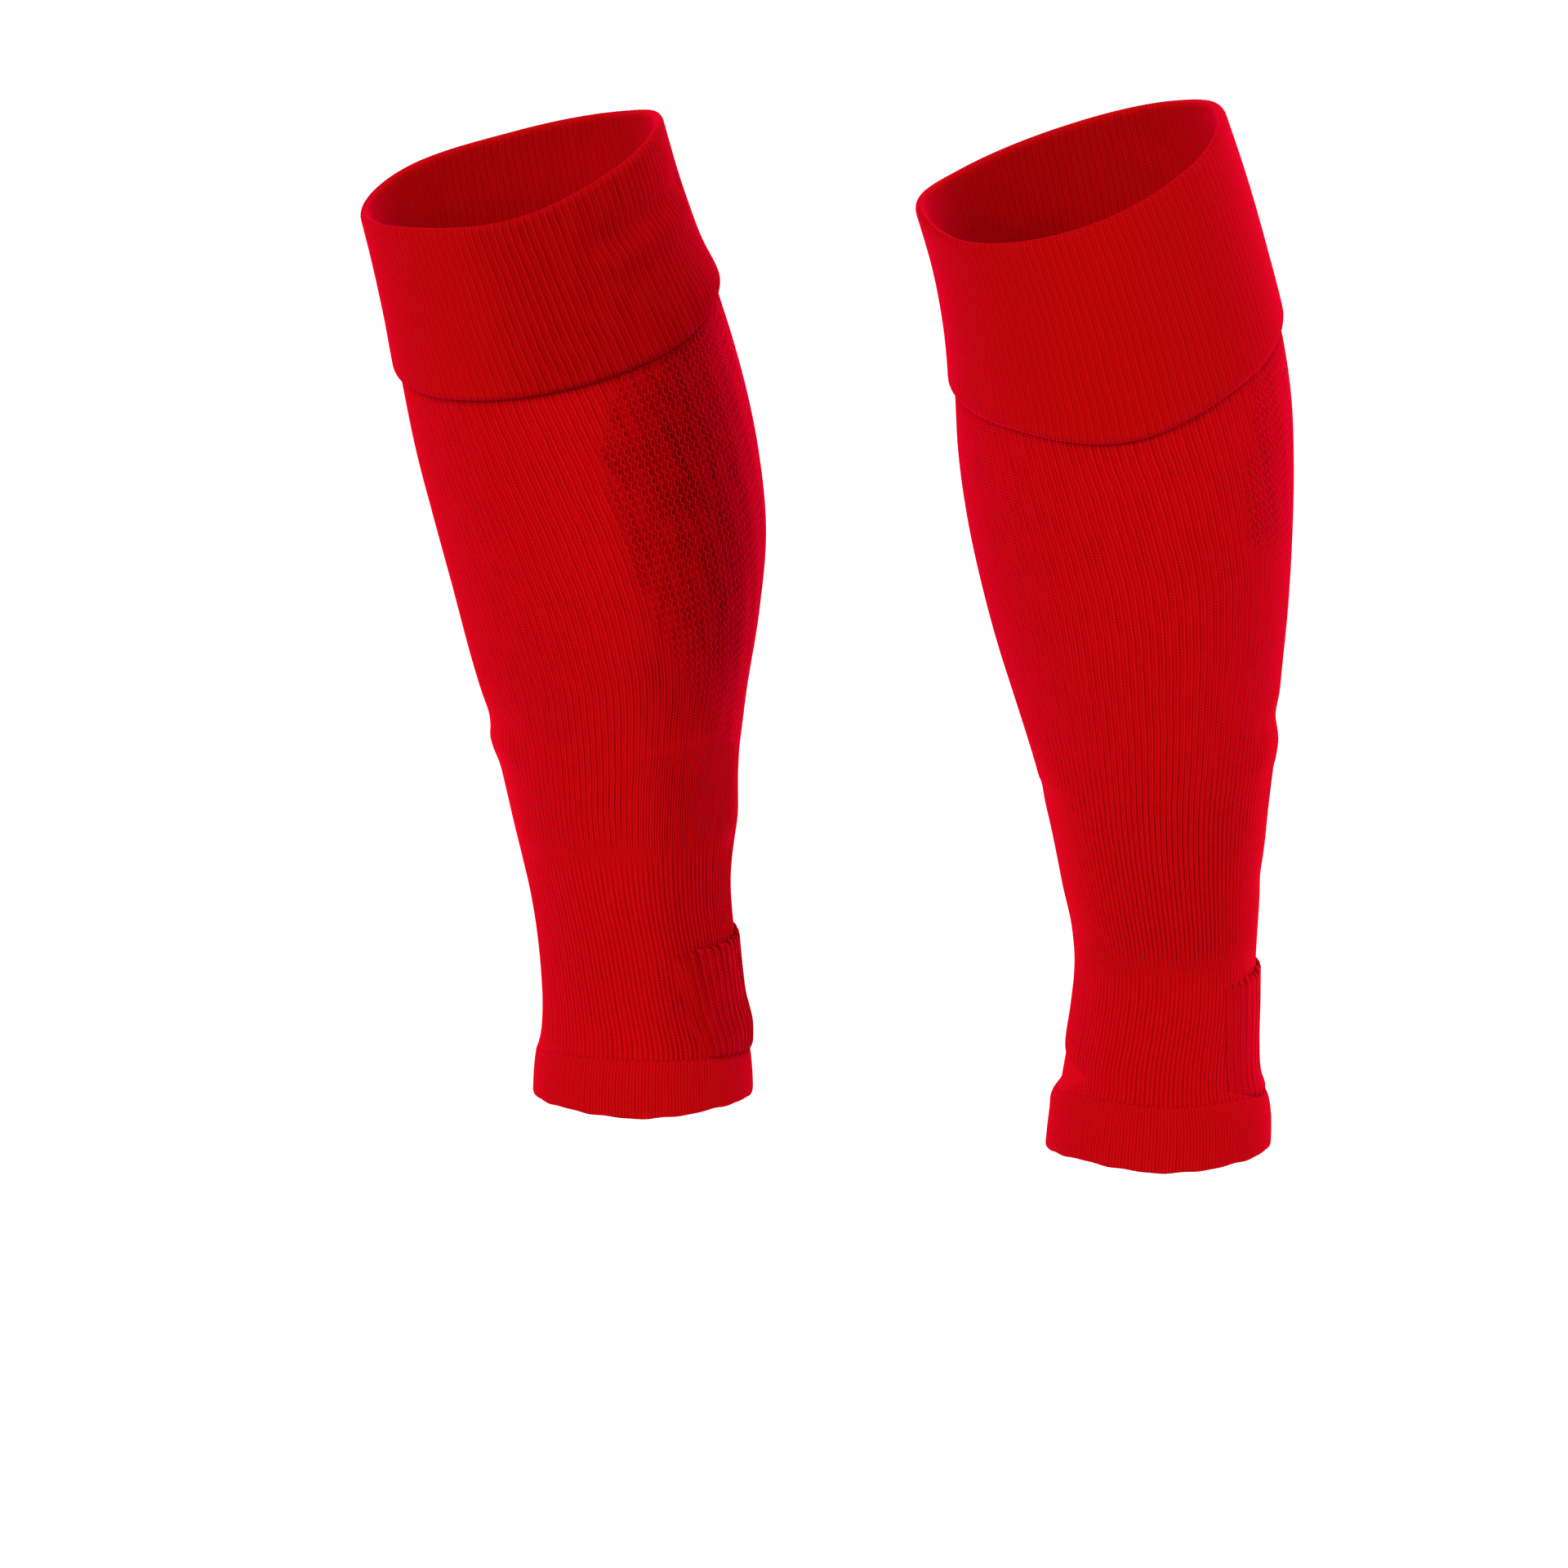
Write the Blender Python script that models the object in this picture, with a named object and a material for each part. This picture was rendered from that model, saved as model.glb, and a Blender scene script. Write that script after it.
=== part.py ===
"""Pair of footless socks in their worn form, with nothing inside.

Each sock is one knitted tube: a leg, its top turned down as a ribbed cuff, a heel patch of thick
ribs over the back of the ankle, and a doubled hem band round the ankle opening.

Axes: the shins face -X, the calves +X, the wearer's left is -Y, and +Z is up the leg.
The origin lies midway between the two calves, where the wearer's legs hold the pair.

Every piece is made from the same two numbers: rise, the height above the sock's lower edge, and
angle, measured round the tube from the calf side (0) by the wearer's right side (90 degrees).
"""

from collections import namedtuple
from math import cos, exp, hypot, radians, sin

import bmesh
import bpy
from mathutils import Vector

MM = 0.001  # one millimetre, in the scene's metres

# Cloth, in millimetres, as all the sizes of a sock are
LEG_WALL = 1.2
CUFF_WALL = 1.2
CUFF_RIB_HEIGHT = 0.6
HEEL_PATCH_WALL = 1.1
HEEL_RIB_HEIGHT = 0.7
HEM_OUTSIDE = 0.9
HEM_INSIDE = 1.5
HEM_LIP = -0.3
HEM_ROUNDING = 1.2
SEAM_GAP = 0.3
FOLD_DEPTH = 3.0

# The fold at the top of the cuff, from its outer face over to the inside of the sock:
# below   how far under the rim, as a share of the fold's depth
# out     how far towards the outer face (1), from the inside of the leg's wall (0)
Roll = namedtuple("Roll", "below out")

CUFF_ROLL = [
    Roll(0.25, 1.0),
    Roll(0.0, 0.72),
    Roll(0.1, 0.22),
    Roll(0.4, 0.0),
    Roll(1.0, 0.0),
]

# Counts
COLUMNS = 40
CUFF_RIBS = 100
HEEL_RIBS = 16
POINTS_PER_RIB = 2
CUFF_STATIONS = 6

# The tube's cross section is an ellipse, this much fuller at the calf than at the shin
CALF_FULLNESS = 0.06

# The waves of an edge die away over the leg as this power of the distance from the other edge
EDGE_FADE = 8

# Faces that meet at more than this many degrees are shaded as a sharp edge
SHARP_ANGLE = 50.0

# The look of each kind of cloth: its material's name, its colour and its roughness
Cloth = namedtuple("Cloth", "name colour roughness")

LEG_KNIT = Cloth("leg_knit", (0.55, 0.002, 0.006), 0.85)
CUFF_RIB = Cloth("cuff_rib", (0.50, 0.002, 0.005), 0.88)
HEEL_RIB = Cloth("heel_rib", (0.52, 0.002, 0.005), 0.90)
HEM_KNIT = Cloth("hem_knit", (0.56, 0.002, 0.006), 0.85)

# One row for each section of a tube, from its lower edge up, in millimetres and degrees:
# rise          height above the lower edge, at the section's centre
# across        how far the centre lies towards the calf side (+X) from the lower edge's centre
# half_width    from the centre to the tube's outer face, along X
# half_depth    the same, along Y
# tilt          how far the calf side is turned up
Section = namedtuple("Section", "rise across half_width half_depth tilt")

LEFT_SECTIONS = [
    Section(0.0, 0.0, 39.1, 32.0, 0.5),
    Section(17.0, 0.2, 37.8, 31.6, 0.0),
    Section(27.0, 0.8, 37.2, 31.2, 0.0),
    Section(39.0, -0.4, 35.8, 30.6, 0.0),
    Section(61.0, -2.3, 35.4, 30.5, 2.2),
    Section(80.0, -4.2, 36.2, 31.6, 3.0),
    Section(104.0, -5.7, 39.8, 35.2, 4.0),
    Section(126.0, -7.4, 42.6, 38.8, 5.0),
    Section(138.0, -7.9, 44.6, 41.0, 5.7),
    Section(150.0, -8.4, 46.8, 43.4, 6.5),
    Section(175.0, -9.4, 52.2, 48.8, 8.0),
    Section(202.0, -11.2, 56.7, 53.2, 9.5),
    Section(229.0, -15.6, 58.9, 55.6, 11.0),
    Section(256.0, -21.5, 59.4, 56.4, 12.5),
    Section(287.0, -29.0, 57.7, 55.6, 14.2),
    Section(307.0, -34.8, 55.4, 54.4, 15.4),
    Section(327.0, -40.1, 54.2, 53.8, 16.6),
    Section(347.0, -45.2, 53.8, 53.6, 17.8),
]

RIGHT_SECTIONS = [
    Section(0.0, 0.4, 39.4, 32.4, 0.0),
    Section(17.0, 1.0, 37.7, 32.4, 0.0),
    Section(27.0, 0.7, 34.3, 32.6, 0.0),
    Section(38.0, 0.4, 33.7, 32.8, 0.0),
    Section(53.0, 1.4, 32.8, 33.0, 1.0),
    Section(68.0, 2.0, 32.2, 33.2, 1.7),
    Section(84.0, 1.7, 33.1, 34.5, 2.4),
    Section(99.0, 0.6, 35.2, 36.6, 3.0),
    Section(123.0, -0.8, 38.5, 40.0, 4.0),
    Section(147.0, -2.4, 42.6, 44.2, 5.0),
    Section(159.0, -3.7, 44.7, 46.3, 5.5),
    Section(171.0, -5.1, 46.9, 48.4, 6.0),
    Section(195.0, -7.6, 51.5, 52.4, 7.0),
    Section(219.0, -10.0, 55.1, 55.6, 8.0),
    Section(243.0, -12.3, 57.7, 57.4, 9.0),
    Section(267.0, -14.5, 58.8, 58.0, 10.0),
    Section(291.0, -17.2, 57.6, 57.6, 10.8),
    Section(315.0, -21.6, 55.8, 57.0, 14.2),
    Section(339.0, -27.4, 54.6, 56.8, 16.2),
    Section(363.5, -35.1, 54.0, 56.8, 17.1),
]

# One row for each edge of the cloth, in millimetres: its rise, and how far it stands above (+) or
# below (-) that at eight places round the tube, from the calf by the wearer's right and the shin.
Edge = namedtuple("Edge", "rise calf calf_right right shin_right shin shin_left left calf_left")

LEFT_EDGES = {
    "hem": Edge(0.0, 0.6, 1.0, 1.0, 0.8, 0.8, 1.9, 1.3, 2.4),
    "seam": Edge(17.0, 0.4, 2.4, 4.0, 3.0, 1.2, 5.1, 6.1, 4.6),
    "cuff": Edge(287.0, 1.0, -2.4, -4.0, -3.2, -0.4, -5.4, -7.7, -5.8),
    "rim": Edge(347.0, -1.0, -3.6, -2.7, 0.8, -0.6, -2.6, -7.0, -3.9),
}

RIGHT_EDGES = {
    "hem": Edge(0.0, 0.9, 0.8, 0.4, 0.2, -0.6, 1.7, 0.6, 1.6),
    "seam": Edge(21.0, -0.3, 1.6, 3.0, 2.2, 0.4, 4.3, 4.4, 3.9),
    "cuff": Edge(291.0, 3.6, -0.5, -3.5, -2.0, 1.6, -6.2, -14.0, -5.0),
    "rim": Edge(363.5, -1.0, -3.0, -4.2, -3.8, -2.2, -10.2, -11.2, -6.4),
}

# One row for each soft fold, in degrees and millimetres: it runs from one place to another on the
# tube, and stands out (+) or dips in (-) by its height, fading over its width to each side.
Fold = namedtuple("Fold", "from_angle from_rise to_angle to_rise height width")

LEFT_FOLDS = [
    Fold(356.0, 325.0, 300.0, 323.0, -1.7, 5.5),
    Fold(353.0, 318.0, 300.0, 315.0, 0.9, 4.5),
    Fold(335.0, 292.0, 375.0, 292.0, 0.7, 6.0),
    Fold(150.0, 152.0, 215.0, 150.0, -0.5, 6.0),
    Fold(155.0, 138.0, 210.0, 139.0, 1.2, 6.0),
    Fold(20.0, 141.0, 95.0, 146.0, -0.7, 7.0),
    Fold(335.0, 104.0, 400.0, 101.0, 0.6, 9.0),
    Fold(60.0, 318.0, 118.0, 322.0, -1.0, 7.0),
]

RIGHT_FOLDS = [
    Fold(330.0, 159.0, 390.0, 157.0, -1.0, 5.5),
    Fold(330.0, 148.0, 385.0, 147.0, 0.8, 5.0),
    Fold(150.0, 141.0, 205.0, 138.0, -0.5, 5.0),
    Fold(160.0, 33.0, 215.0, 31.0, -0.7, 4.0),
    Fold(155.0, 18.0, 212.0, 19.0, 0.7, 3.5),
    Fold(330.0, 98.0, 380.0, 103.0, -0.6, 7.0),
    Fold(70.0, 152.0, 130.0, 146.0, -0.7, 7.0),
    Fold(80.0, 325.0, 125.0, 329.0, -0.9, 7.0),
]

# One sock: its place in metres, its tables, and its heel patch, which runs from the seam up to
# the row at heel_top, centred on heel_angle, with a half angle at its top and one at its foot.
Sock = namedtuple(
    "Sock",
    "name place sections edges folds heel_top heel_angle heel_half_top heel_half_foot",
)

SOCKS = [
    Sock(
        name="left",
        place=Vector((-0.074, 0.027, -0.262)),
        sections=LEFT_SECTIONS,
        edges=LEFT_EDGES,
        folds=LEFT_FOLDS,
        heel_top=61.0,
        heel_angle=343.0,
        heel_half_top=52.5,
        heel_half_foot=40.0,
    ),
    Sock(
        name="right",
        place=Vector((0.110, -0.027, -0.262)),
        sections=RIGHT_SECTIONS,
        edges=RIGHT_EDGES,
        folds=RIGHT_FOLDS,
        heel_top=68.0,
        heel_angle=4.0,
        heel_half_top=55.0,
        heel_half_foot=50.0,
    ),
]


def clear_scene():
    for old in list(bpy.data.objects):
        bpy.data.objects.remove(old, do_unlink=True)


# ---------------------------------------------------------------- the form of a sock


def smooth_step(low, high, low_slope, high_slope, t):
    """A smooth curve from low to high as t goes from 0 to 1, with its slopes at the two ends."""
    return (
        (2 * t**3 - 3 * t**2 + 1) * low
        + (t**3 - 2 * t**2 + t) * low_slope
        + (3 * t**2 - 2 * t**3) * high
        + (t**3 - t**2) * high_slope
    )


def slope(sections, row, column):
    """The slope of a column at a row, from its neighbours."""
    below = sections[max(row - 1, 0)]
    above = sections[min(row + 1, len(sections) - 1)]
    return (getattr(above, column) - getattr(below, column)) / (above.rise - below.rise)


def size_at(sections, rise, column):
    """A column's value at any rise, on a smooth curve through the rows."""
    row = 0
    while row < len(sections) - 2 and sections[row + 1].rise < rise:
        row += 1
    low, high = sections[row], sections[row + 1]
    span = high.rise - low.rise
    return smooth_step(
        getattr(low, column),
        getattr(high, column),
        span * slope(sections, row, column),
        span * slope(sections, row + 1, column),
        (rise - low.rise) / span,
    )


def edge_rise(edge, angle):
    """The rise of an edge of the cloth at an angle, on a smooth curve through its eight places."""
    lifts = edge[1:]
    place = angle % 360.0 / 360.0 * len(lifts)
    i = int(place)
    before, low, high, after = (lifts[(i + step) % len(lifts)] for step in (-1, 0, 1, 2))
    lift = smooth_step(low, high, 0.5 * (high - before), 0.5 * (after - low), place - i)
    return edge.rise + lift


def fold_height(sock, rise, angle):
    """How far the folds move the cloth out at a place."""
    girth = size_at(sock.sections, rise, "half_width")
    total = 0.0
    for fold in sock.folds:
        turn = (angle - fold.from_angle + 180.0) % 360.0 - 180.0
        along_x = radians(fold.to_angle - fold.from_angle) * girth
        along_y = fold.to_rise - fold.from_rise
        here_x = radians(turn) * girth
        here_y = rise - fold.from_rise
        t = (here_x * along_x + here_y * along_y) / (along_x**2 + along_y**2)
        t = min(max(t, 0.0), 1.0)
        far = hypot(here_x - t * along_x, here_y - t * along_y)
        total += fold.height * exp(-((far / fold.width) ** 2))
    return total


def cloth_point(sock, rise, angle, out):
    """The point at this rise and angle, this far outside the leg tube's outer face."""
    sections = sock.sections
    half_width = size_at(sections, rise, "half_width")
    half_depth = size_at(sections, rise, "half_depth")
    across = size_at(sections, rise, "across")
    tilt = radians(size_at(sections, rise, "tilt"))
    turn = radians(angle)
    fullness = 1 + CALF_FULLNESS * cos(turn)
    normal_x = half_depth * (cos(turn) * fullness - CALF_FULLNESS * sin(turn) ** 2)
    normal_y = half_width * sin(turn)
    moved = (out + fold_height(sock, rise, angle)) / hypot(normal_x, normal_y)
    x = half_width * cos(turn) + normal_x * moved
    y = half_depth * sin(turn) * fullness + normal_y * moved
    return sock.place + MM * Vector((across + x * cos(tilt), y, rise + x * sin(tilt)))


def edge_line(sock, name, lift=0.0):
    """The rise at each angle along one of the sock's edges, or that far above it."""
    return lambda angle: edge_rise(sock.edges[name], angle) + lift


def line_between(low, high, t):
    """The rise at each angle along a line between two others."""
    return lambda angle: low(angle) + t * (high(angle) - low(angle))


def ring(sock, line, out, count=COLUMNS, rib_height=0.0):
    """The points round the tube along a line, with every other one raised as a rib."""
    angles = [360.0 * i / count for i in range(count)]
    raised = [rib_height * (i % POINTS_PER_RIB) for i in range(count)]
    return [cloth_point(sock, line(a), a, out + rib) for a, rib in zip(angles, raised)]


def leg_line(sock, rise):
    """A line round the leg. It follows the nearer edge's waves, which die away between the two."""
    seam, cuff = sock.edges["seam"], sock.edges["cuff"]
    t = (rise - seam.rise) / (cuff.rise - seam.rise)
    near_seam, near_cuff = (1 - t) ** EDGE_FADE, t**EDGE_FADE
    return lambda angle: (
        rise
        + near_seam * (edge_rise(seam, angle) - seam.rise + SEAM_GAP)
        + near_cuff * (edge_rise(cuff, angle) - cuff.rise)
    )


def leg_lines(sock, top):
    """The lines of the leg's rings, from just above the hem's seam to the row at the top."""
    foot = sock.edges["seam"].rise
    rises = [foot, *(row.rise for row in sock.sections if foot < row.rise <= top)]
    return [leg_line(sock, rise) for rise in rises]


def cuff_lines(sock):
    """The lines of the rings that the cuff and the leg under it share, from the cuff's edge up."""
    low, high = edge_line(sock, "cuff"), edge_line(sock, "rim", -FOLD_DEPTH)
    return [line_between(low, high, i / CUFF_STATIONS) for i in range(CUFF_STATIONS + 1)]


# ---------------------------------------------------------------- meshes


def new_material(cloth):
    material = bpy.data.materials.new(cloth.name)
    material.use_nodes = True
    shader = material.node_tree.nodes["Principled BSDF"]
    shader.inputs["Base Color"].default_value = (*cloth.colour, 1.0)
    shader.inputs["Roughness"].default_value = cloth.roughness
    shader.inputs["Metallic"].default_value = 0.0
    return material


def new_object(name, mesh, material):
    mesh.materials.append(material)
    obj = bpy.data.objects.new(name, mesh)
    bpy.context.scene.collection.objects.link(obj)
    return obj


def finish_mesh(name, work):
    bmesh.ops.recalc_face_normals(work, faces=work.faces)
    mesh = bpy.data.meshes.new(name)
    work.to_mesh(mesh)
    work.free()
    mesh.shade_smooth()
    mesh.set_sharp_from_angle(angle=radians(SHARP_ANGLE))
    return mesh


def join_rings(work, low, high):
    """The faces between two rings. One may have a whole number of times the other's points.

    Each square is split the same way, from its lower ring, so that layers that face each other
    bend alike and keep their gap.
    """
    if len(low) > len(high) or (len(low) == len(high) and low[0].co.z > high[0].co.z):
        low, high = high, low
    steps = len(high) // len(low)
    half = steps // 2
    for i, corner in enumerate(low):
        next_corner = low[(i + 1) % len(low)]
        fan = [high[(i * steps + j) % len(high)] for j in range(steps + 1)]
        for j in range(steps):
            work.faces.new((corner if j < half else next_corner, fan[j], fan[j + 1]))
        work.faces.new((corner, fan[half], next_corner))


def tube_mesh(name, rings):
    """A closed wall through rings that go up one face of the cloth and down the other."""
    work = bmesh.new()
    loops = [[work.verts.new(point) for point in points] for points in rings]
    for low, high in zip(loops, loops[1:] + loops[:1]):
        join_rings(work, low, high)
    return finish_mesh(name, work)


def patch_mesh(name, outer, inner):
    """A closed wall between two grids of points with the same rows and columns."""
    work = bmesh.new()
    faces = [[[work.verts.new(point) for point in row] for row in grid] for grid in (outer, inner)]
    front, back = faces
    rows, columns = len(front), len(front[0])
    for grid in faces:
        for r in range(rows - 1):
            for c in range(columns - 1):
                work.faces.new((grid[r][c], grid[r][c + 1], grid[r + 1][c + 1], grid[r + 1][c]))
    for r in (0, rows - 1):
        for c in range(columns - 1):
            work.faces.new((front[r][c], front[r][c + 1], back[r][c + 1], back[r][c]))
    for c in (0, columns - 1):
        for r in range(rows - 1):
            work.faces.new((front[r][c], front[r + 1][c], back[r + 1][c], back[r][c]))
    return finish_mesh(name, work)


# ---------------------------------------------------------------- the pieces of a sock


def build_leg(sock, material):
    """The leg tube, from just above the hem to just under the fold of the cuff."""
    top = edge_line(sock, "rim", -FOLD_DEPTH - SEAM_GAP)
    lines = [*leg_lines(sock, sock.edges["cuff"].rise), *cuff_lines(sock)[1:-1], top]
    outside = [ring(sock, line, 0.0) for line in lines]
    inside = [ring(sock, line, -LEG_WALL) for line in reversed(lines)]
    return new_object(f"{sock.name}_leg", tube_mesh("leg", outside + inside), material)


def build_cuff(sock, material):
    """The turned-down top: a ribbed layer outside the leg, rolled over the leg's top end."""
    plain = SEAM_GAP + CUFF_WALL
    points = CUFF_RIBS * POINTS_PER_RIB
    lines = cuff_lines(sock)
    outside = [ring(sock, line, plain, points, CUFF_RIB_HEIGHT) for line in lines]
    roll = [
        ring(
            sock,
            edge_line(sock, "rim", -step.below * FOLD_DEPTH),
            -LEG_WALL + step.out * (plain + LEG_WALL),
        )
        for step in CUFF_ROLL
    ]
    inside = [ring(sock, line, SEAM_GAP) for line in reversed(lines)]
    mesh = tube_mesh("cuff", outside + roll + inside)
    return new_object(f"{sock.name}_cuff", mesh, material)


def build_heel_patch(sock, material):
    """The field of thick ribs at the back of the ankle, on the leg's own rings moved out."""
    lines = leg_lines(sock, sock.heel_top)
    columns = HEEL_RIBS * POINTS_PER_RIB + 1
    crown = SEAM_GAP + HEEL_PATCH_WALL
    outer, inner = [], []
    for row, line in enumerate(lines):
        t = row / (len(lines) - 1)
        half = sock.heel_half_foot + t * (sock.heel_half_top - sock.heel_half_foot)
        angles = [sock.heel_angle + half * (2 * i / (columns - 1) - 1) for i in range(columns)]
        ribs = [HEEL_RIB_HEIGHT * (i % POINTS_PER_RIB) for i in range(columns)]
        outer.append([cloth_point(sock, line(a), a, crown + r) for a, r in zip(angles, ribs)])
        inner.append([cloth_point(sock, line(a), a, SEAM_GAP) for a in angles])
    mesh = patch_mesh("heel_patch", outer, inner)
    return new_object(f"{sock.name}_heel_patch", mesh, material)


def build_hem(sock, material):
    """The doubled band round the ankle opening, with a soft round lower edge."""
    low, high = edge_line(sock, "hem"), edge_line(sock, "seam")
    middle = line_between(low, high, 0.5)
    rounded = edge_line(sock, "hem", HEM_ROUNDING)
    path = [
        (low, HEM_LIP),
        (rounded, HEM_OUTSIDE),
        (middle, HEM_OUTSIDE),
        (high, HEM_OUTSIDE),
        (high, -HEM_INSIDE),
        (middle, -HEM_INSIDE),
        (rounded, -HEM_INSIDE),
    ]
    rings = [ring(sock, line, out) for line, out in path]
    return new_object(f"{sock.name}_hem", tube_mesh("hem", rings), material)


def main():
    clear_scene()
    leg_knit = new_material(LEG_KNIT)
    cuff_rib = new_material(CUFF_RIB)
    heel_rib = new_material(HEEL_RIB)
    hem_knit = new_material(HEM_KNIT)
    for sock in SOCKS:
        build_leg(sock, leg_knit)
        build_cuff(sock, cuff_rib)
        build_heel_patch(sock, heel_rib)
        build_hem(sock, hem_knit)


main()
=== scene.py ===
from collections import namedtuple
from math import pi, radians

import bpy
import numpy as np
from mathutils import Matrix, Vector


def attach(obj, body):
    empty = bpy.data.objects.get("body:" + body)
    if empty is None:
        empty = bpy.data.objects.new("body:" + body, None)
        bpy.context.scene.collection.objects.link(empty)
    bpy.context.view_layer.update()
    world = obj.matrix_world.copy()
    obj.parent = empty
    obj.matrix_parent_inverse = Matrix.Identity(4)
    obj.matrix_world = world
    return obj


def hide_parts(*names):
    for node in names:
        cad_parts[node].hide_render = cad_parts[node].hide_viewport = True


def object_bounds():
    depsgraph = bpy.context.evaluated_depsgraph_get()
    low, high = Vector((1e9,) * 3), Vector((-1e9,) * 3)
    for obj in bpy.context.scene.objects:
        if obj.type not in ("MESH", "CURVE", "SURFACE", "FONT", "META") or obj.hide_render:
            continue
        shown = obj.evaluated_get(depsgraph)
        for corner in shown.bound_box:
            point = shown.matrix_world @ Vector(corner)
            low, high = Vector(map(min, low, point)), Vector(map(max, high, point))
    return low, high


# The looks of a pair of footless socks in their worn form, with nothing inside. Each sock is one
# knitted tube: a leg, its top turned down as a ribbed cuff, a heel patch and a hem band.
#
# A place on a sock is its rise, the height above the lower edge, and its angle, measured round
# the tube from the calf (0) by the wearer's right (90 degrees) and the shin (180). Sizes are in
# millimetres and angles in degrees, unless a name says otherwise.

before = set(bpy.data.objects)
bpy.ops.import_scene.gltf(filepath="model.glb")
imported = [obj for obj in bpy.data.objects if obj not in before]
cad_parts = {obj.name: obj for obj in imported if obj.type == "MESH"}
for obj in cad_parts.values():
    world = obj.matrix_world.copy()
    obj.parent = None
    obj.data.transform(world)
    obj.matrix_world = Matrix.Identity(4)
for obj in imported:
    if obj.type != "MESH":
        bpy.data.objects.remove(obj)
solid_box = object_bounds()

MM = 0.001  # metres in a millimetre

# ---------------------------------------------------------------- sizes of the solids

LEG_WALL = 1.2
CUFF_WALL = 1.2
CUFF_RIB_HEIGHT = 0.6
HEEL_PATCH_WALL = 1.1
HEEL_RIB_HEIGHT = 0.7
HEM_OUTSIDE = 0.9
HEM_INSIDE = 1.5
HEM_ROUNDING = 1.2
SEAM_GAP = 0.3
FOLD_DEPTH = 3.0
FOLD_ROUNDING = 2.4
CUFF_OUTSIDE = SEAM_GAP + CUFF_WALL + CUFF_RIB_HEIGHT
HEEL_OUTSIDE = SEAM_GAP + HEEL_PATCH_WALL + HEEL_RIB_HEIGHT
CALF_FULLNESS = 0.06
EDGE_FADE = 8

# across        how far the section's centre lies towards the calf from the lower edge's centre
# half_width    from the centre to the tube's outer face, from shin to calf
# half_depth    the same, from side to side
# tilt          how far the calf side is turned up
Section = namedtuple("Section", "rise across half_width half_depth tilt")

LEFT_SECTIONS = [
    Section(0.0, 0.0, 39.1, 32.0, 0.5),
    Section(17.0, 0.2, 37.8, 31.6, 0.0),
    Section(27.0, 0.8, 37.2, 31.2, 0.0),
    Section(39.0, -0.4, 35.8, 30.6, 0.0),
    Section(61.0, -2.3, 35.4, 30.5, 2.2),
    Section(80.0, -4.2, 36.2, 31.6, 3.0),
    Section(104.0, -5.7, 39.8, 35.2, 4.0),
    Section(126.0, -7.4, 42.6, 38.8, 5.0),
    Section(138.0, -7.9, 44.6, 41.0, 5.7),
    Section(150.0, -8.4, 46.8, 43.4, 6.5),
    Section(175.0, -9.4, 52.2, 48.8, 8.0),
    Section(202.0, -11.2, 56.7, 53.2, 9.5),
    Section(229.0, -15.6, 58.9, 55.6, 11.0),
    Section(256.0, -21.5, 59.4, 56.4, 12.5),
    Section(287.0, -29.0, 57.7, 55.6, 14.2),
    Section(307.0, -34.8, 55.4, 54.4, 15.4),
    Section(327.0, -40.1, 54.2, 53.8, 16.6),
    Section(347.0, -45.2, 53.8, 53.6, 17.8),
]

RIGHT_SECTIONS = [
    Section(0.0, 0.4, 39.4, 32.4, 0.0),
    Section(17.0, 1.0, 37.7, 32.4, 0.0),
    Section(27.0, 0.7, 34.3, 32.6, 0.0),
    Section(38.0, 0.4, 33.7, 32.8, 0.0),
    Section(53.0, 1.4, 32.8, 33.0, 1.0),
    Section(68.0, 2.0, 32.2, 33.2, 1.7),
    Section(84.0, 1.7, 33.1, 34.5, 2.4),
    Section(99.0, 0.6, 35.2, 36.6, 3.0),
    Section(123.0, -0.8, 38.5, 40.0, 4.0),
    Section(147.0, -2.4, 42.6, 44.2, 5.0),
    Section(159.0, -3.7, 44.7, 46.3, 5.5),
    Section(171.0, -5.1, 46.9, 48.4, 6.0),
    Section(195.0, -7.6, 51.5, 52.4, 7.0),
    Section(219.0, -10.0, 55.1, 55.6, 8.0),
    Section(243.0, -12.3, 57.7, 57.4, 9.0),
    Section(267.0, -14.5, 58.8, 58.0, 10.0),
    Section(291.0, -17.2, 57.6, 57.6, 10.8),
    Section(315.0, -21.6, 55.8, 57.0, 14.2),
    Section(339.0, -27.4, 54.6, 56.8, 16.2),
    Section(363.5, -35.1, 54.0, 56.8, 17.1),
]

# An edge of the cloth: its rise, and how far it stands above (+) or below (-) that at eight
# places round the tube
Edge = namedtuple("Edge", "rise calf calf_right right shin_right shin shin_left left calf_left")

LEFT_EDGES = {
    "hem": Edge(0.0, 0.6, 1.0, 1.0, 0.8, 0.8, 1.9, 1.3, 2.4),
    "seam": Edge(17.0, 0.4, 2.4, 4.0, 3.0, 1.2, 5.1, 6.1, 4.6),
    "cuff": Edge(287.0, 1.0, -2.4, -4.0, -3.2, -0.4, -5.4, -7.7, -5.8),
    "rim": Edge(347.0, -1.0, -3.6, -2.7, 0.8, -0.6, -2.6, -7.0, -3.9),
}

RIGHT_EDGES = {
    "hem": Edge(0.0, 0.9, 0.8, 0.4, 0.2, -0.6, 1.7, 0.6, 1.6),
    "seam": Edge(21.0, -0.3, 1.6, 3.0, 2.2, 0.4, 4.3, 4.4, 3.9),
    "cuff": Edge(291.0, 3.6, -0.5, -3.5, -2.0, 1.6, -6.2, -14.0, -5.0),
    "rim": Edge(363.5, -1.0, -3.0, -4.2, -3.8, -2.2, -10.2, -11.2, -6.4),
}

# A soft fold runs from one place to another, and stands out (+) or dips in (-) by its height,
# fading over its width to each side
Fold = namedtuple("Fold", "from_angle from_rise to_angle to_rise height width")

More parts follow.
